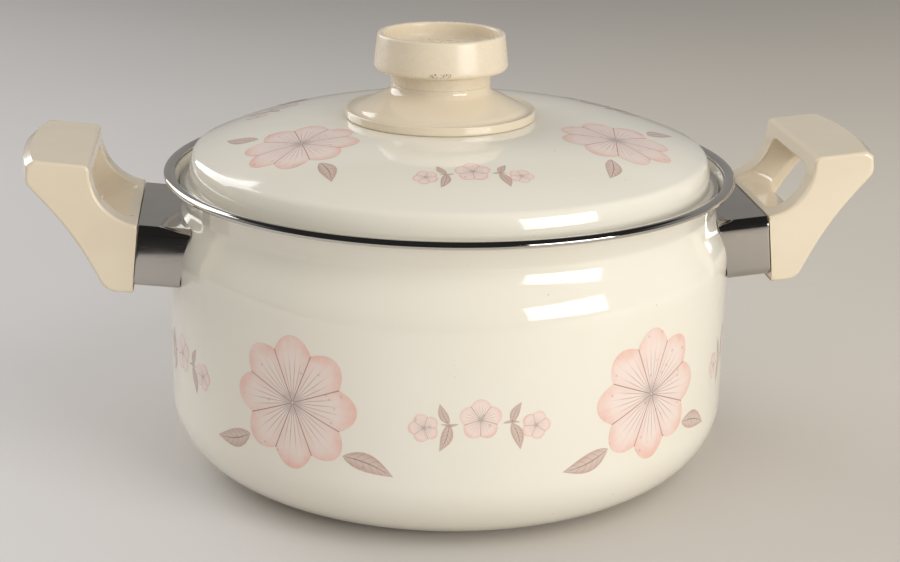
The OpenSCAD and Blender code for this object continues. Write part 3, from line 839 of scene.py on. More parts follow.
@dataclass
class Knob:
    """Moulded knob: a hollow coved base and a dished spool above a fine joint line."""

    seat_z: float = 155.8
    shift: float = -4.5
    base_r: float = 41.8
    edge_h: float = 3.8
    rise: float = 11.2
    slope: float = 27.0
    fillet: float = 3.6
    neck_r: float = 21.8
    neck_h: float = 5.3
    undercut: float = 1.2
    head_h: float = 15.5
    head_r: float = 29.3
    taper: float = 1.4
    lip: float = 2.8
    dish: float = 7.0
    bore: float = 2.8
    wall: float = 3.2
    edge_w: float = 1.0
    edge_round: float = 0.6
    foot_round: float = 0.3
    cove_w: float = 4.598
    cove_d: float = 0.9
    boss_r: float = 11.0
    gasket_r: float = 9.0
    gasket_in: float = 0.7
    boss_h: float = 6.9
    hollow_share: float = 0.6
    joint_round: float = 0.25
    neck_round: float = 1.2
    neck_lift: float = 0.1
    head_round: float = 2.3
    head_lift: float = 1.9
    lip_round: float = 1.1
    dish_round: float = 0.9
    bowl_r: float = 2.2
    lean: float = 4.0
    segments: int = 224

    def base_section(self) -> Grid:
        """Closed half section of the base: edge, cove, cone, fillet and the hollow underside.

        The cove is z = d (s - sin(pi s)) and the hollow is r = r0 + w cos a, z = h sin(a)^2.4.

        Returns:
            Rows of (r, z).
        """
        edge_z = self.seat_z + self.edge_h
        joint_z = edge_z + self.rise
        edge_in = self.base_r - self.edge_w
        s = np.linspace(0.0, 1.0, 14)
        cove = np.stack([edge_in - self.cove_w * s,
                         edge_z + self.cove_d * s - self.cove_d * np.sin(math.pi * s)], -1)
        cone_r, cone_z = edge_in - self.cove_w, edge_z + self.cove_d
        slope = math.radians(self.slope)
        fx = self.neck_r + self.fillet
        fz = cone_z + (cone_r - fx + self.fillet * math.sin(slope)) * math.tan(slope) \
            + self.fillet * math.cos(slope)
        fillet = arc(fx, fz, self.fillet, self.fillet, 270 - self.slope, 180, 14)
        j = self.joint_round
        top = chain(fillet, line(tuple(fillet[-1]), (self.neck_r, joint_z - j), 3),
                    arc(self.neck_r - j, joint_z - j, j, j, 0, 90, 4))
        a = np.radians(np.linspace(90, 0, 16))
        hollow = np.stack([self.boss_r + (self.base_r - self.wall - self.boss_r) * np.cos(a),
                           self.seat_z + self.rise * self.hollow_share * np.sin(a) ** 2.4], -1)
        f, e = self.foot_round, self.edge_round
        gasket_z = self.seat_z + self.gasket_in
        return chain(line((self.base_r - f, self.seat_z), (self.base_r, self.seat_z + f), 2),
                     line((self.base_r, self.seat_z + f), (self.base_r, edge_z - e), 5),
                     arc(self.base_r - e, edge_z - e, e, e, 0, 90, 6), cove,
                     line((cone_r, cone_z), tuple(fillet[0]), 10), top,
                     line((self.neck_r - j, joint_z), (self.bore, joint_z), 6),
                     line((self.bore, joint_z), (self.bore, gasket_z), 4),
                     line((self.bore, gasket_z), (self.gasket_r, gasket_z), 3),
                     line((self.gasket_r, gasket_z), (self.gasket_r, self.seat_z + self.boss_h), 3), hollow)

    def spool_section(self) -> Grid:
        """Half section of the spool from the axis below to the middle of the dish.

        The head's side and the dish's wall lean by the same angle, where the arcs at their ends stop.

        Returns:
            Rows of (r, z).
        """
        joint_z = self.seat_z + self.edge_h + self.rise
        under_z = joint_z + self.neck_h
        head_z = under_z + self.undercut
        top_z = head_z + self.head_h
        lip_r = self.head_r - self.taper
        dish_r = lip_r - self.lip
        floor_z = top_z - self.dish
        j, n, h = self.joint_round, self.neck_round, self.head_round
        neck = chain(arc(self.neck_r - j, joint_z + j, j, j, -90, 0, 4),
                     line((self.neck_r, joint_z + j), (self.neck_r, under_z - n), 4),
                     arc(self.neck_r + n, under_z - n + self.neck_lift, n, n, 180, 125, 6))
        corner = arc(self.head_r - h, head_z + self.head_lift, h, h, -58, self.lean, 14)
        o, i, b = self.lip_round, self.dish_round, self.bowl_r
        lip = arc(lip_r - o, top_z - o, o, o, self.lean, 90, 8)
        inner = arc(dish_r + i, top_z - i, i, i, 90, 180 - self.lean, 7)
        bowl = arc(dish_r - b, floor_z + b, b, b, 0, -90, 10)
        return chain(line((0.0, joint_z), (self.neck_r - j, joint_z), 5), neck,
                     line(tuple(neck[-1]), tuple(corner[0]), 6), corner,
                     line(tuple(corner[-1]), tuple(lip[0]), 8), lip, inner,
                     line(tuple(inner[-1]), tuple(bowl[0]), 5), bowl,
                     line((dish_r - b, floor_z), (0.0, floor_z), 8))

    def dress(self, material: bpy.types.Material, chipped: bpy.types.Material) -> None:
        """Builds both pieces and seats them.

        Args:
            material: material of the base.
            chipped: material of the spool, with its chips.
        """
        foot = revolve("knob_foot", self.base_section(), self.segments, True)
        head = revolve("knob_head", self.spool_section(), self.segments, False)
        for piece, finish, node in ((foot, material, "knob_base"), (head, chipped, "knob_spool")):
            piece.data.transform(Matrix.Translation((self.shift * MM, 0.0, 0.0)))
            settle(piece, finish, "phenolic", node)


# Side handles


class Side(Enum):
    """Which side of the pot a piece is on, with the factor that turns it there."""

    RIGHT = 1.0
    LEFT = -1.0

    @property
    def label(self) -> str:
        """The side's name as the solids use it."""
        return self.name.lower()


@dataclass
class Handle:
    """Moulded grip with a hollow inner face, a finger opening and a pocketed back.

    The opening is square to the sloped back. Seen along that direction the grip is a plate of changing
    thickness with one hole, so its skin is a closed band: u goes round the opening, v goes round the
    section, from the opening's wall over the palm to the outline and back across the pocket.
    """

    width: float = 79.0
    joint_x: float = 137.2
    joint_top: float = 118.0
    joint_h: float = 26.4
    tilt: float = 6.0
    room: float = 21.2
    depth: float = 30.0
    rise: float = 24.4
    foot_drop: float = 3.0
    grip_face: float = 9.5
    palm_r: float = 23.0
    palm_lift: float = 0.5
    foot_reach: float = 10.5
    foot_bow: float = 0.1
    edge_r: float = 1.3
    top_r: float = 3.0
    knee_r: float = 6.0
    foot_r: float = 8.0
    hole_w: float = 56.0
    hole_h: float = 20.5
    hole_round: float = 5.0
    hole_edge: float = 0.9
    hole_draft: float = 4.5
    hole_at: float = 0.575
    back_edge: float = 1.4
    sag: float = 2.2
    pocket_w: float = 70.0
    pocket_l: float = 42.5
    pocket_round: float = 9.0
    pocket_d: float = 7.0
    pocket_at: float = 0.46
    pocket_soft: float = 0.16
    thinnest: float = 0.5
    seat_in: float = 10.3
    seat_r: float = 5.5
    seat_steps: int = 64

    def __post_init__(self) -> None:
        """Works out the outline's corners and the slope of the back."""
        self.half = self.width / 2
        self.mid = self.joint_top - self.joint_h / 2
        self.grip_in = self.joint_x + self.room
        self.reach = self.grip_in + self.depth
        self.top = self.joint_top + self.rise
        self.foot = self.joint_top - self.joint_h - self.foot_drop
        self.grip_out = math.sqrt(self.reach ** 2 - self.half ** 2)
        self.knee_z = self.top - self.grip_face
        self.foot_x = self.joint_x + self.foot_reach
        self.slope = math.atan2(self.knee_z - self.foot, self.grip_out - self.foot_x)
        self.length = math.hypot(self.knee_z - self.foot, self.grip_out - self.foot_x)
        self.hole_s = self.length * self.hole_at
        self.pocket_s = self.length * self.pocket_at

    def tilted(self, points: Grid, side: Side) -> Grid:
        """Turns level points about the middle of the joint, outer end up, and over to a side.

        (x, z) goes to (x0 + dx cos t - dz sin t, z0 + dx sin t + dz cos t).

        Args:
            points: rows of (x, y, z) drawn level on the right side.
            side: side that they go to.

        Returns:
            Rows of (x, y, z).
        """
        dx, y, dz = points[..., 0] - self.joint_x, points[..., 1], points[..., 2] - self.mid
        c, s = math.cos(math.radians(self.tilt)), math.sin(math.radians(self.tilt))
        x, z = self.joint_x + dx * c - dz * s, self.mid + dx * s + dz * c
        return np.stack([x * side.value, y * side.value, z], -1)

    def to_plate(self, xz: Grid) -> Grid:
        """Turns (x, z) into (s up the slope, h in from the back)."""
        dx, dz = xz[..., 0] - self.foot_x, xz[..., 1] - self.foot
        c, s = math.cos(self.slope), math.sin(self.slope)
        return np.stack([dx * c + dz * s, -dx * s + dz * c], -1)

    def from_plate(self, s: Grid, h: Grid) -> Grid:
        """Turns (s, h) back into (x, z)."""
        c, n = math.cos(self.slope), math.sin(self.slope)
        return np.stack([self.foot_x + s * c - h * n, self.foot + s * n + h * c], -1)

    def slice_lines(self, y: float) -> tuple[Grid, Grid]:
        """Back and palm outlines of the upright slice at y, in plate coordinates.

        Near the sides a slice shrinks by d = e - sqrt(e^2 - t^2). The back bows out by
        sqrt(reach^2 - y^2) - grip_out, all of it at the grip and foot_bow of it at the foot.

        Args:
            y: distance from the middle of the handle.

        Returns:
            The back outline and the palm outline, both from the lowest s to the highest.
        """
        t = max(abs(y) - (self.half - self.edge_r), 0.0)
        d = self.edge_r - math.sqrt(max(self.edge_r ** 2 - t ** 2, 0.0))
        bow = math.sqrt(self.reach ** 2 - y ** 2) - self.grip_out
        angle = math.degrees(self.slope)
        fc = (self.foot_x - self.foot_r * math.tan(self.slope / 2), self.foot + self.foot_r)
        kc = (self.grip_out - self.knee_r,
              self.knee_z + self.knee_r * math.tan(math.radians(45 - angle / 2)))
        fr, kr, tr = self.foot_r - d, self.knee_r - d, max(self.top_r - d, 0.4)
        foot = arc(fc[0], fc[1], fr, fr, -90, angle - 90, 16)
        foot[:, 0] += bow * self.foot_bow * np.linspace(0, 1, 16)
        knee = arc(kc[0] + bow, kc[1], kr, kr, angle - 90, 0, 16)
        share = np.linspace(0.0, 1.0, 22)[1:-1, None]
        sag = self.sag * np.sin(math.pi * share)
        normal = np.array([[math.sin(self.slope), -math.cos(self.slope)]])
        face = foot[-1] * (1 - share) + knee[0] * share - sag * normal
        crest = arc(self.grip_out - d - tr + bow, self.top - d - tr, tr, tr, 0, 90, 14)
        back = chain(line((self.joint_x, self.foot + d), tuple(foot[0]), 6), foot, face, knee, crest)
        r = self.palm_r + d
        palm_z = self.joint_top + self.palm_lift \
            + math.sqrt(self.palm_r ** 2 - (self.palm_r - self.room) ** 2)
        start = -math.degrees(math.acos((self.palm_r - self.room) / r))
        end = -math.degrees(math.asin(max(palm_z - (self.top - d - tr), 0) / r))
        palm = arc(self.grip_in - self.palm_r, palm_z, r, r, start, end, 40)
        brow = arc(self.grip_in + d + tr, self.top - d - tr, tr, tr, 180, 90, 14)
        front = chain(line((self.joint_x, self.foot + d), tuple(palm[0]), 14), palm,
                      line(tuple(palm[-1]), tuple(brow[0]), 6), brow,
                      line(tuple(brow[-1]), tuple(crest[-1]), 14))
        return self.to_plate(back), self.to_plate(front)

    def tables(self) -> tuple[Grid, Grid, Grid]:
        """Samples the plate's back and palm heights for slices from the middle to the side.

        Returns:
            The slices' y, the range of s of each slice, and heights by (slice, back or palm, share of s).
        """
        w = np.linspace(0.0, 1.0, 24)
        y = np.concatenate([np.linspace(0, self.half - self.edge_r, 64),
                            self.half - self.edge_r * (1 - np.sin(w[1:] * math.pi / 2))])
        share = (1 - np.cos(np.linspace(0, math.pi, 1600))) / 2
        span, heights = [], []
        for back, palm in map(self.slice_lines, y):
            low, high = back[0, 0], back[-1, 0]
            s = low + (high - low) * share
            span.append((low, high))
            heights.append((np.interp(s, np.maximum.accumulate(back[:, 0]), back[:, 1]),
                            np.interp(s, np.maximum.accumulate(palm[:, 0]), palm[:, 1])))
        return y, np.array(span), np.array(heights)

    def sample(self, s: Grid, y: Grid, tables: tuple[Grid, Grid, Grid]) -> tuple[Grid, Grid, Grid]:
        """Heights of back and palm over the plate, with a mask of what is inside its outline.

        Args:
            s: positions up the slope.
            y: positions across.
            tables: result of tables().

        Returns:
            Back heights, palm heights and the mask.
        """
        ys, span, heights = tables
        flat = np.minimum(np.abs(y), self.half)
        place = np.interp(flat, ys, np.arange(len(ys)))
        i = np.clip(place.astype(int), 0, len(ys) - 2)
        f = place - i
        low = span[i, 0] * (1 - f) + span[i + 1, 0] * f
        high = span[i, 1] * (1 - f) + span[i + 1, 1] * f
        share = (s - low) / (high - low)
        inside = (share >= 0) & (share <= 1) & (np.abs(y) <= self.half + 1e-9)
        n = heights.shape[2] - 1
        at = np.arccos(1 - 2 * np.clip(share, 0, 1)) / math.pi * n
        j = np.clip(at.astype(int), 0, n - 1)
        g = at - j
        both = []
        for k in range(2):
            near = heights[i, k, j] * (1 - g) + heights[i, k, j + 1] * g
            far = heights[i + 1, k, j] * (1 - g) + heights[i + 1, k, j + 1] * g
            both.append(near * (1 - f) + far * f)
        return both[0], both[1], inside

    @staticmethod
    def box_distance(s: Grid, y: Grid, length: float, width: float, r: float) -> Grid:
        """Signed distance to a rounded rectangle: |max(q, 0)| + min(max(q), 0) - r, q = |p| - half + r."""
        qs, qy = np.abs(s) - length / 2 + r, np.abs(y) - width / 2 + r
        return np.hypot(np.maximum(qs, 0), np.maximum(qy, 0)) + np.minimum(np.maximum(qs, qy), 0) - r

    def opened_sheet(self, rays: tuple[Grid, Grid], outline: Grid, tables: tuple[Grid, Grid, Grid],
                     draft: float, round_r: float) -> tuple[Grid, Grid, Grid, Grid, Grid]:
        """Samples the plate along the rays, from the opening's edge to the outline.

        At distance a from the opening its edge is rounded by f = e - sqrt(e^2 - (e - a)^2). The samples
        lie closer together near the outline.

        Args:
            rays: directions up the slope and across, one row per ray.
            outline: length of each ray to the outline.
            tables: result of tables().
            draft: how much further down the opening reaches on this sheet.
            round_r: radius e of the opening's edge.

        Returns:
            Positions up the slope, positions across, back heights, palm heights and the rounding f.
        """
        ds, dy = rays
        length, shift = self.hole_h + draft, draft / 2
        low = ray_ends(lambda far: self.box_distance(far * ds + shift, far * dy, length, self.hole_w,
                                                     self.hole_round) <= 0, len(ds), 60.0)
        even = np.linspace(0, 1, 900)
        share = np.concatenate([even[:-1] * 0.9, 0.9 + 0.1 * (1 - (1 - even) ** 2.5)])[None, :]
        rho = low + (outline - low) * share
        away = self.box_distance(rho * ds + shift, rho * dy, length, self.hole_w, self.hole_round)
        near = np.clip(round_r - away, 0, round_r)
        s, y = self.hole_s + rho * ds, rho * dy
        back, palm, _ = self.sample(s, y, tables)
        return s, y, back, palm, round_r - np.sqrt(np.maximum(round_r ** 2 - near ** 2, 0))

    def skin(self, u_count: int, counts: tuple[int, int, int, int]) -> Grid:
        """Points of the closed band.

        Each ray from the opening's middle runs from the opening's edge to the outline. The opening's edges
        are rounded, and the back gains the pocket's depth by a smooth wall. On the palm the opening reaches
        further down. The rays are closer together towards the handle's two sides.

        Args:
            u_count: rays round the opening.
            counts: points on the palm, the outline's wall, the back and the opening's wall.

        Returns:
            Grid of points (u, v, 3) in (x, y, z).
        """
        tables = self.tables()
        angle = np.linspace(0, 2 * math.pi, u_count, endpoint=False)
        ways = np.stack([0.62 * np.cos(angle), np.sin(angle)], -1)
        ways /= np.linalg.norm(ways, axis=1, keepdims=True)
        rays = (ways[:, :1], ways[:, 1:])
        outline = ray_ends(lambda far: self.sample(self.hole_s + far * rays[0], far * rays[1], tables)[2],
                           u_count, 90.0)
        palm_s, palm_y, under_palm, palm, fall = self.opened_sheet(rays, outline, tables, self.hole_draft,
                                                                   self.hole_edge)
        palm = np.maximum(palm - fall, under_palm + self.thinnest)
        back_s, back_y, back, _, fall = self.opened_sheet(rays, outline, tables, 0.0, self.back_edge)
        away = self.box_distance(back_s - self.pocket_s, back_y, self.pocket_l, self.pocket_w,
                                 self.pocket_round)
        back = back + self.pocket_d / (1 + np.exp(np.clip(away / self.pocket_soft, -40, 40))) + fall
        rows = []
        for k in range(u_count):
            over = np.stack([palm_s[k], palm_y[k], palm[k]], -1)
            under = np.stack([back_s[k], back_y[k], back[k]], -1)
            side = np.linspace(over[-1], under[-1], counts[1] + 2)[1:-1]
            inner = np.linspace(under[0], over[0], counts[3] + 2)[1:-1]
            rows.append(np.concatenate([resample(over, counts[0]), side,
                                        resample(under[::-1], counts[2]), inner]))
        plate = np.array(rows)
        xz = self.from_plate(plate[..., 0], plate[..., 2])
        return np.stack([xz[..., 0], plate[..., 1], xz[..., 1]], -1)

    def build(self, side: Side) -> bpy.types.Object:
        """Builds the handle on one side.

        Args:
            side: which side of the pot.

        Returns:
            The new object.
        """
        grid = self.skin(300, (84, 14, 84, 14))
        faces = cell_faces(grid.shape[0], grid.shape[1], True, True).tolist()
        piece = make_piece(f"grip_{side.label}", self.tilted(grid.reshape(-1, 3), side), faces)
        bore = self.bore_cutter(side)
        cut = piece.modifiers.new("screw_seat", "BOOLEAN")
        cut.operation, cut.solver, cut.object = "DIFFERENCE", "EXACT", bore
        graph = bpy.context.evaluated_depsgraph_get()
        mesh = bpy.data.meshes.new_from_object(piece.evaluated_get(graph))
        piece.modifiers.clear()
        piece.data = mesh
        bpy.data.objects.remove(bore)
        mesh.shade_smooth()
        mesh.set_sharp_from_angle(angle=math.radians(50))
        return piece

    def bore_cutter(self, side: Side) -> bpy.types.Object:
        """Closed cylinder that sinks the screw's seat: (x0 + t, r cos a, zc + r sin a)."""
        n = self.seat_steps
        a = np.linspace(0, 2 * math.pi, n, endpoint=False)
        seat, thin = self.joint_x + self.seat_in, 0.02
        x = np.array([seat, seat, self.reach, self.reach])
        r = np.array([thin, self.seat_r, self.seat_r, thin])
        points = np.stack([np.repeat(x[:, None], n, 1), r[:, None] * np.cos(a),
                           self.mid + r[:, None] * np.sin(a)], -1).reshape(-1, 3)
        ends = [list(range(n)), list(range(3 * n, 4 * n))[::-1]]
        faces = cell_faces(4, n, False, True).tolist() + ends
        return make_piece("seat_cutter", self.tilted(points, side), faces)


@dataclass
class Ferrule:
    """Sheet-steel sleeve between the wall and the grip, cut to the wall and square to its own axis."""

    width: float = 78.4
    corner: float = 4.0
    gauge: float = 0.8
    wall_gap: float = 0.4
    joint_gap: float = 0.25
    lip: float = 0.35

    def to_wall(self, section: Grid, pot: Pot, handle: Handle) -> Grid:
        """Level distance at which lines along the tilted axis meet the wall.

        Starting from the joint, x is corrected eight times by the difference between sqrt(x^2 + y^2) and
        the wall's radius at the tilted height.

        Args:
            section: rows of (y, height over the axis).
            pot: gives the wall's radius.
            handle: gives the joint and the tilt.

        Returns:
            One level x for each row.
        """
        x = np.full(len(section), handle.joint_x)
        for _ in range(8):
            level = np.stack([x, section[:, 0], handle.mid + section[:, 1]], -1)
            real = handle.tilted(level, Side.RIGHT)
            reach = np.hypot(real[:, 0], real[:, 1])
            x = x - (reach - pot.outer_radius(real[:, 2]) - self.wall_gap)
        return x

    def build(self, side: Side, pot: Pot, handle: Handle) -> bpy.types.Object:
        """Builds the sleeve as a closed skin.

        Along u the rounded-box outline runs from the wall to the joint, then back inside it a gauge further
        in. Both ends curl in: inset = lip (1 - sin t), back = lip (1 - cos t).

        Args:
            side: which side of the pot.
            pot: gives the wall's radius.
            handle: gives the joint and the tilt.

        Returns:
            The new object.
        """
        end = handle.joint_x - self.joint_gap
        turn = np.radians(np.linspace(0, 90, 7))
        stations = [(0.0, math.sin(t), 1 - math.cos(t)) for t in turn]
        stations += [(f, 1.0, 1.0) for f in np.linspace(0.0, 1.0, 26)[1:-1]]
        stations += [(1.0, math.sin(t), 1 - math.cos(t)) for t in turn[::-1]]
        rows = []
        for along, full, back in stations:
            inset = self.lip * (1 - full)
            section = rounded_box(self.width - 2 * inset, handle.joint_h - 2 * inset, self.corner - inset, 14)
            start = self.to_wall(section, pot, handle)
            curl = self.lip * back
            rows.append(np.stack([start + curl + (end - start - 2 * curl) * along, section[:, 0],
                                  handle.mid + section[:, 1]], -1))
        inner = rounded_box(self.width - 2 * self.gauge, handle.joint_h - 2 * self.gauge,
                            self.corner - self.gauge, 14)
        start = self.to_wall(inner, pot, handle)
        for f in np.linspace(1.0, 0.0, 12):
            rows.append(np.stack([start + (end - start) * f, inner[:, 0], handle.mid + inner[:, 1]], -1))
        grid = np.array(rows)
        faces = cell_faces(grid.shape[0], grid.shape[1], True, True).tolist()
        return make_piece(f"sleeve_{side.label}", handle.tilted(grid.reshape(-1, 3), side), faces)


# Print


@dataclass
class Print:
    """Blossoms, small sprays and leaves on the wall and on the dome."""

    pot: Pot
    lid: Lid
    bloom_r: float = 28.5
    petals: int = 8
    spray_l: float = 36.0
    pot_repeat: int = 5
    lid_repeat: int = 3
    lid_share: float = 0.86
    wall_drop: float = 2.5
    bloom_out: float = 76.9202
    spray_out: float = 83.51336
    wall_leaf_low: float = 40.0
    dome_leaf_low: float = 15.0
    raised: float = 0.06

    def rosette(self, cx: float, cy: float, r: float, petals: int, turn: float, rings: int,
                seed: float) -> tuple[Grid, Grid, Grid]:
        """One open blossom: rho r(a) (sin a, cos a), r(a) = R (0.8 + 0.2 |cos(n a / 2)|).

        Args:
            cx: middle, across.
            cy: middle, up.
            r: radius.
            petals: number of petals.
            turn: angle of the first petal, in degrees.
            rings: steps from the middle to the edge.
            seed: number added to the petal count, so that blossoms differ.

        Returns:
            Flat points, faces and surface coordinates (petals passed, share of the radius).
        """
        steps = petals * 14
        a = np.linspace(0, 2 * math.pi, steps + 1)
        rho = np.linspace(0.015, 1.0, rings)[:, None]
        lobe = r * (0.8 + 0.2 * np.abs(np.cos(petals * a / 2)))
        b = a + math.radians(turn)
        flat = np.stack([cx + rho * lobe * np.sin(b), cy + rho * lobe * np.cos(b)], -1)
        uv = np.stack([np.broadcast_to(a / (2 * math.pi) * petals + 0.5 + seed, flat.shape[:2]),
                       np.broadcast_to(rho, flat.shape[:2])], -1)
        return flat.reshape(-1, 2), cell_faces(rings, steps + 1, False, False), uv.reshape(-1, 2)

    def leaf(self, x: float, y: float, length: float, width: float, turn: float,
             seed: float) -> tuple[Grid, Grid, Grid]:
        """One pointed leaf: (L s, v W/2 sin(pi s^0.8)), turned and moved to (x, y).

        Args:
            x: foot, across.
            y: foot, up.
            length: length.
            width: greatest width.
            turn: direction in degrees.
            seed: whole number added to the first surface coordinate.

        Returns:
            Flat points, faces and surface coordinates (across, along).
        """
        s = np.linspace(0.0, 1.0, 22)[:, None]
        v = np.linspace(-1.0, 1.0, 9)[None, :]
        bend = 0.07 * length * np.sin(math.pi * s)
        px = np.broadcast_to(length * s, (22, 9))
        py = v * width / 2 * np.sin(math.pi * s ** 0.8) + bend
        c, n = math.cos(math.radians(turn)), math.sin(math.radians(turn))
        flat = np.stack([x + px * c - py * n, y + px * n + py * c], -1)
        uv = np.stack([np.broadcast_to(0.5 + 0.49 * v + seed, (22, 9)), np.broadcast_to(s, (22, 9))], -1)
        return flat.reshape(-1, 2), cell_faces(22, 9, False, False), uv.reshape(-1, 2)

    def bloom_leaves(self, r: float, low: float) -> list[tuple[Grid, Grid, Grid]]:
        """The two leaves of a large blossom of radius r, low degrees below its middle."""
        c, n = math.cos(math.radians(low)), math.sin(math.radians(low))
        return [self.leaf(side * 1.03 * r * c, -1.03 * r * n, r * 0.75, r * 0.28, -18 if side > 0 else 198, k)
                for k, side in enumerate((-1, 1))]

    def spray_blossoms(self, l: float) -> list[tuple[Grid, Grid, Grid]]:
        """The three blossoms of a spray of length l."""
        made = [self.rosette(0.0, 0.0, l * 0.24, 5, 0, 10, 0.0)]
        return made + [self.rosette(side * l * 0.62, -l * 0.1, l * 0.17, 5, 20 * side, 8, 7.0 + side)
                       for side in (-1, 1)]

    def spray_leaves(self, l: float) -> list[tuple[Grid, Grid, Grid]]:
        """The leaves between the blossoms of a spray of length l."""
        made = []
        for side in (-1, 1):
            x, y = side * l * 0.345, -l * 0.05
            made.append(self.leaf(x, y, l * 0.34, l * 0.13, -72 if side > 0 else 252, 1))
            made.append(self.leaf(x, y, l * 0.26, l * 0.1, 66 if side > 0 else 114, 2))
            made.append(self.leaf(x - side * l * 0.1, y, l * 0.2, l * 0.035, 0 if side > 0 else 180, 3))
        return made

    def on_wall(self, flat: Grid, turn: float) -> Grid:
        """Lays flat points on the wall: angle = turn + asin(x / R), z = middle of the wall + y."""
        r = self.pot.belly_r + self.raised
        a = math.radians(turn) + np.arcsin(flat[:, 0] / self.pot.belly_r)
        z = (self.pot.corner_h + self.pot.belly_h) / 2 - self.wall_drop + flat[:, 1]
        return np.stack([r * np.sin(a), -r * np.cos(a), z], -1)

    def on_dome(self, flat: Grid, turn: float, out: float) -> Grid:
        """Lays flat points on the dome: plan (x, y - out) turned about the axis, z from the dome."""
        x, y = flat[:, 0], flat[:, 1] - out
        c, n = math.cos(math.radians(turn)), math.sin(math.radians(turn))
        px, py = x * c - y * n, x * n + y * c
        return np.stack([px, py, self.lid.height(np.hypot(px, py)) + self.raised], -1)

    def gather(self, name: str, sheets: list[tuple[Grid, Grid, Grid]]) -> bpy.types.Object:
        """Joins laid sheets into one piece whose faces look away from the pot.

        Args:
            name: name of the piece.
            sheets: (points, faces, surface coordinates) of each sheet.

        Returns:
            The new object.
        """
        points, faces, uv, count = [], [], [], 0
        for p, f, t in sheets:
            a, b, c = p[f[len(f) // 2][:3]]
            up = np.cross(b - a, c - a)
            if up @ (a - (0, 0, self.pot.belly_h / 2)) < 0:
                f = f[:, ::-1]
            points.append(p)
            faces.append(f + count)
            uv.append(t)
            count += len(p)
        return make_piece(name, np.concatenate(points), np.concatenate(faces).tolist(), False,
                          np.concatenate(uv))

    def dress(self, rose: bpy.types.Material, taupe: bpy.types.Material) -> None:
        """Builds the print's four pieces and seats them.

        Args:
            rose: material of the blossoms.
            taupe: material of the leaves.
        """
        wall_turn, dome_turn = 360 / self.pot_repeat, 360 / self.lid_repeat
        lid_bloom, lid_spray = self.bloom_r * self.lid_share, self.spray_l * self.lid_share
        sheets: dict[str, list[tuple[Grid, Grid, Grid]]] = {"pot_bloom": [], "pot_leaf": [], "lid_bloom": [],
                                                            "lid_leaf": []}
        for i in range(self.pot_repeat):
            bloom = [self.rosette(0, 0, self.bloom_r, self.petals, 0, 26, 0.0)]
            for key, turn, parts in (
                    ("pot_bloom", i + 0.5, bloom),
                    ("pot_bloom", i, self.spray_blossoms(self.spray_l)),
                    ("pot_leaf", i + 0.5, self.bloom_leaves(self.bloom_r, self.wall_leaf_low)),
                    ("pot_leaf", i, self.spray_leaves(self.spray_l))):
                sheets[key] += [(self.on_wall(p, wall_turn * turn), f, t) for p, f, t in parts]
        for i in range(self.lid_repeat):
            bloom = [self.rosette(0, 0, lid_bloom, self.petals, 0, 26, 0.0)]
            for key, turn, parts, out in (
                    ("lid_bloom", i + 0.5, bloom, self.bloom_out),
                    ("lid_bloom", i, self.spray_blossoms(lid_spray), self.spray_out),
                    ("lid_leaf", i + 0.5, self.bloom_leaves(lid_bloom, self.dome_leaf_low), self.bloom_out),
                    ("lid_leaf", i, self.spray_leaves(lid_spray), self.spray_out)):
                sheets[key] += [(self.on_dome(p, dome_turn * turn, out), f, t) for p, f, t in parts]
        nodes = {"pot_bloom": "pot_blossoms", "pot_leaf": "pot_leaves", "lid_bloom": "lid_blossoms",
                 "lid_leaf": "lid_leaves"}
        for key, laid in sheets.items():
            material, slot = (rose, "print_rose") if "bloom" in key else (taupe, "print_taupe")
            settle(self.gather(key, laid), material, slot, nodes[key])


# Studio


@dataclass(frozen=True)
class Softbox:
    """Rectangular soft lamp in a direction from the pot, turned to the middle of it.

    The azimuth goes from the front towards the right handle, the elevation up from the table, both in
    degrees; distances and sizes are metres and the power is in watts. Gloss shows no image of a lamp that
    isn't mirrored.
    """

    name: str
    azimuth: float
    elevation: float
    away: float
    size: tuple[float, float]
    power: float
    colour: Colour
    mirrored: bool = True
    aim_z: float = 0.1

    def build(self) -> None:
        """Adds the lamp: place = aim + away (sin a cos e, -cos a cos e, sin e)."""
        data = bpy.data.lights.new(self.name, "AREA")
        data.shape, data.size, data.size_y = "RECTANGLE", *self.size
        data.energy, data.color = self.power, self.colour
        lamp = bpy.data.objects.new(self.name, data)
        a, e = math.radians(self.azimuth), math.radians(self.elevation)
        back = np.array([math.sin(a) * math.cos(e), -math.cos(a) * math.cos(e), math.sin(e)])
        place = self.away * back + (0, 0, self.aim_z)
        right = np.cross((0, 0, 1.0), back)
        right /= np.linalg.norm(right)
        axes = np.stack([right, np.cross(back, right), back, place], -1)
        lamp.matrix_world = Matrix([*axes.tolist(), (0, 0, 0, 1)])
        lamp.visible_glossy = self.mirrored
        bpy.context.scene.collection.objects.link(lamp)


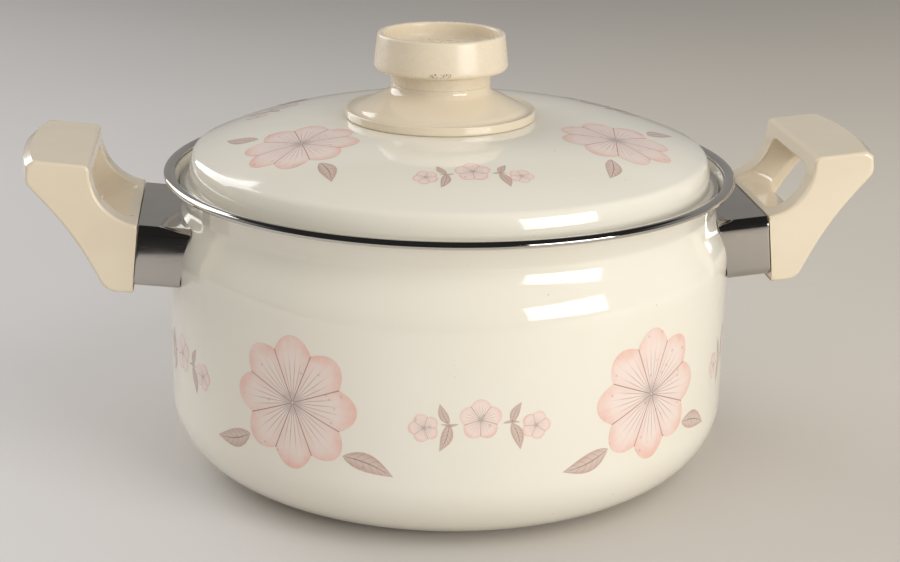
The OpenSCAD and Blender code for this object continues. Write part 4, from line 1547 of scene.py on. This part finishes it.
@dataclass
class Studio:
    """Camera, plain floor and soft lights. Its sizes are metres, as seen from the photograph's camera."""

    distance: float = 0.807
    height: float = 0.33466
    pitch: float = 17.565
    roll: float = 0.897
    yaw: float = -6.4
    focal_px: float = 1868.68
    image_px: float = 900.0
    offset_px: float = 2.2
    floor_cool: Colour = (0.685, 0.668, 0.657)
    floor_warm: Colour = (0.66, 0.603, 0.515)
    floor_cloud: Colour = (0.5, 0.47, 0.43)
    # painted shade: the colour that the floor darkens to far away
    floor_far: Colour = (0.30, 0.285, 0.265)
    dark: Colour = (0.025, 0.024, 0.024)
    backdrop: Colour = (0.31, 0.30, 0.29)
    horizon: Colour = (0.65, 0.635, 0.625)
    zenith: Colour = (0.52, 0.515, 0.515)
    softboxes: tuple[Softbox, ...] = (
        Softbox("window", 40, 11, 1.5, (0.88, 0.5), 9.5, (1.0, 0.99, 0.97)),
        Softbox("side", 36, 44, 1.4, (0.7, 0.7), 3.9, (1.0, 0.985, 0.955), False),
        Softbox("back", -133, 21, 1.5, (1.03, 1.12), 10.5, (0.98, 0.99, 1.0)),
        Softbox("fill", -35, 48, 1.5, (0.9, 0.9), 1.2, (0.92, 0.96, 1.0), False))

    def add_camera(self) -> None:
        """Puts the camera where the photograph was taken from."""
        data = bpy.data.cameras.new("camera")
        data.sensor_width = 36.0
        data.lens = self.focal_px / self.image_px * data.sensor_width
        data.shift_x = self.offset_px / self.image_px
        data.clip_start, data.clip_end = 0.01, 20.0
        camera = bpy.data.objects.new("camera", data)
        turn = Matrix.Rotation(math.radians(self.yaw), 4, "Z")
        aim = Matrix.Rotation(math.radians(90 - self.pitch), 4, "X")
        spin = Matrix.Rotation(math.radians(self.roll), 4, "Z")
        camera.matrix_world = turn @ Matrix.Translation((0, -self.distance, self.height)) @ aim @ spin
        bpy.context.scene.collection.objects.link(camera)
        bpy.context.scene.camera = camera

    def add_floor(self) -> None:
        """Lays a wide plain floor, cooler at the left, with painted shade that darkens it far away.

        Its grid is in millimetres, like all pieces. Gloss sees the part in front of the pot dark.
        """
        half, drop = 4000, -0.05
        x, y = np.meshgrid(np.linspace(-half, half, 9), np.linspace(-half, half, 9), indexing="ij")
        points = np.stack([x, y, np.full_like(x, drop)], -1).reshape(-1, 3)
        floor = make_piece("floor", points, cell_faces(9, 9, False, False)[:, ::-1].tolist(), False)
        s = Shader("floor")
        px, py, _ = s.node("SeparateXYZ", {0: s.place()}).outputs
        base = s.mix(s.step(px, -0.35, 0.45), self.floor_cool, self.floor_warm)
        base = s.mix(s.step(s.noise(3.0, 2.0), 0.3, 0.7, 0.0, 0.12), base, self.floor_cloud)
        # painted shade: the floor darkens far from the pot, where less lamp light falls
        far = s.step(s.math("SUBTRACT", py, s.math("MULTIPLY", px, 0.5)), 0.1, 1.4, 0.0, 0.66)
        base = s.mix(far, base, self.floor_far)
        front = s.step(s.math("ADD", py, s.math("MULTIPLY", px, 0.3)), -0.456, -0.447, 1.0, 0.0)
        mirrored = s.node("LightPath").outputs["Is Glossy Ray"]
        base = s.mix(s.math("MULTIPLY", front, mirrored), base, self.dark)
        dress(floor, s.finish(Base_Color=base, Roughness=0.62, Specular_IOR_Level=0.25,
                              Normal=s.bump(s.noise(500.0, 3.0), 0.00002)))
        floor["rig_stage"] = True

    def add_world(self) -> None:
        """Surrounds the set with a soft grey dome; gloss sees a low backdrop in a dark room instead."""
        world = bpy.data.worlds.new("studio")
        bpy.context.scene.world = world
        w = NodeWriter(world)
        _, y, z = w.node("SeparateXYZ", {0: w.place("Generated")}).outputs
        low_behind = w.math("MULTIPLY", w.step(y, -0.25, 0.15), w.step(z, 0.5, 0.66, 1.0, 0.0))
        room = w.mix(low_behind, self.dark, self.backdrop)
        dome = w.mix(w.step(z, -0.1, 0.9, 1.0, 0.0), self.zenith, self.horizon)
        mirrored = w.node("LightPath").outputs["Is Glossy Ray"]
        sky = w.node("Background", {0: w.mix(mirrored, dome, room)})
        w.node("OutputWorld", {0: sky.outputs[0]})

    def build(self) -> None:
        """Builds camera, floor, world and lamps."""
        self.add_camera()
        self.add_floor()
        self.add_world()
        for softbox in self.softboxes:
            softbox.build()
        bpy.context.scene.view_settings.view_transform = "Standard"


def main() -> None:
    """Builds every sub-assembly in order and reports each piece."""
    logging.basicConfig(level=logging.INFO, format="%(message)s")
    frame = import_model()
    Studio().build()
    enamel = EnamelFinish().material()
    phenolic = PhenolicFinish().material()
    chipped = PhenolicFinish(chips=True, roughness=0.26, coat=0.04).material()
    band = SteelFinish().material()
    sheet = SteelFinish("ferrule_steel", colour=(0.53, 0.505, 0.475), roughness=0.075,
                        along=(1.0, 1.0, 4.0), scratch=0.3).material()
    pot, lid, knob, handle, ferrule = Pot(), Lid(), Knob(), Handle(), Ferrule()
    pot.dress(enamel, band)
    lid.dress(enamel, band)
    knob.dress(phenolic, chipped)
    for side in Side:
        settle(handle.build(side), phenolic, "phenolic", f"handle_{side.label}")
        settle(ferrule.build(side, pot, handle), sheet, "ferrule_steel", f"ferrule_{side.label}")
    rose = PrintFinish(Motif.PETALS).material()
    taupe = PrintFinish(Motif.LEAVES, pale=(0.66, 0.52, 0.44), wash=(0.50, 0.33, 0.27)).material()
    Print(pot, lid).dress(rose, taupe)
    fixing = FixingFinish().material()
    brass = FixingFinish("brass", (0.66, 0.50, 0.22), 0.28).material()
    rubber = RubberFinish().material()
    kept = {"knob_insert": brass, "knob_gasket": rubber}
    hidden = {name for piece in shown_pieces() for name in piece.get("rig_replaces", [])}
    for name, node in frame["nodes"].items():
        if name not in hidden:
            dress(node, kept.get(name, fixing))
            log.info("%s: node kept, with its own finish", name)


if __name__ == "__main__":
    main()
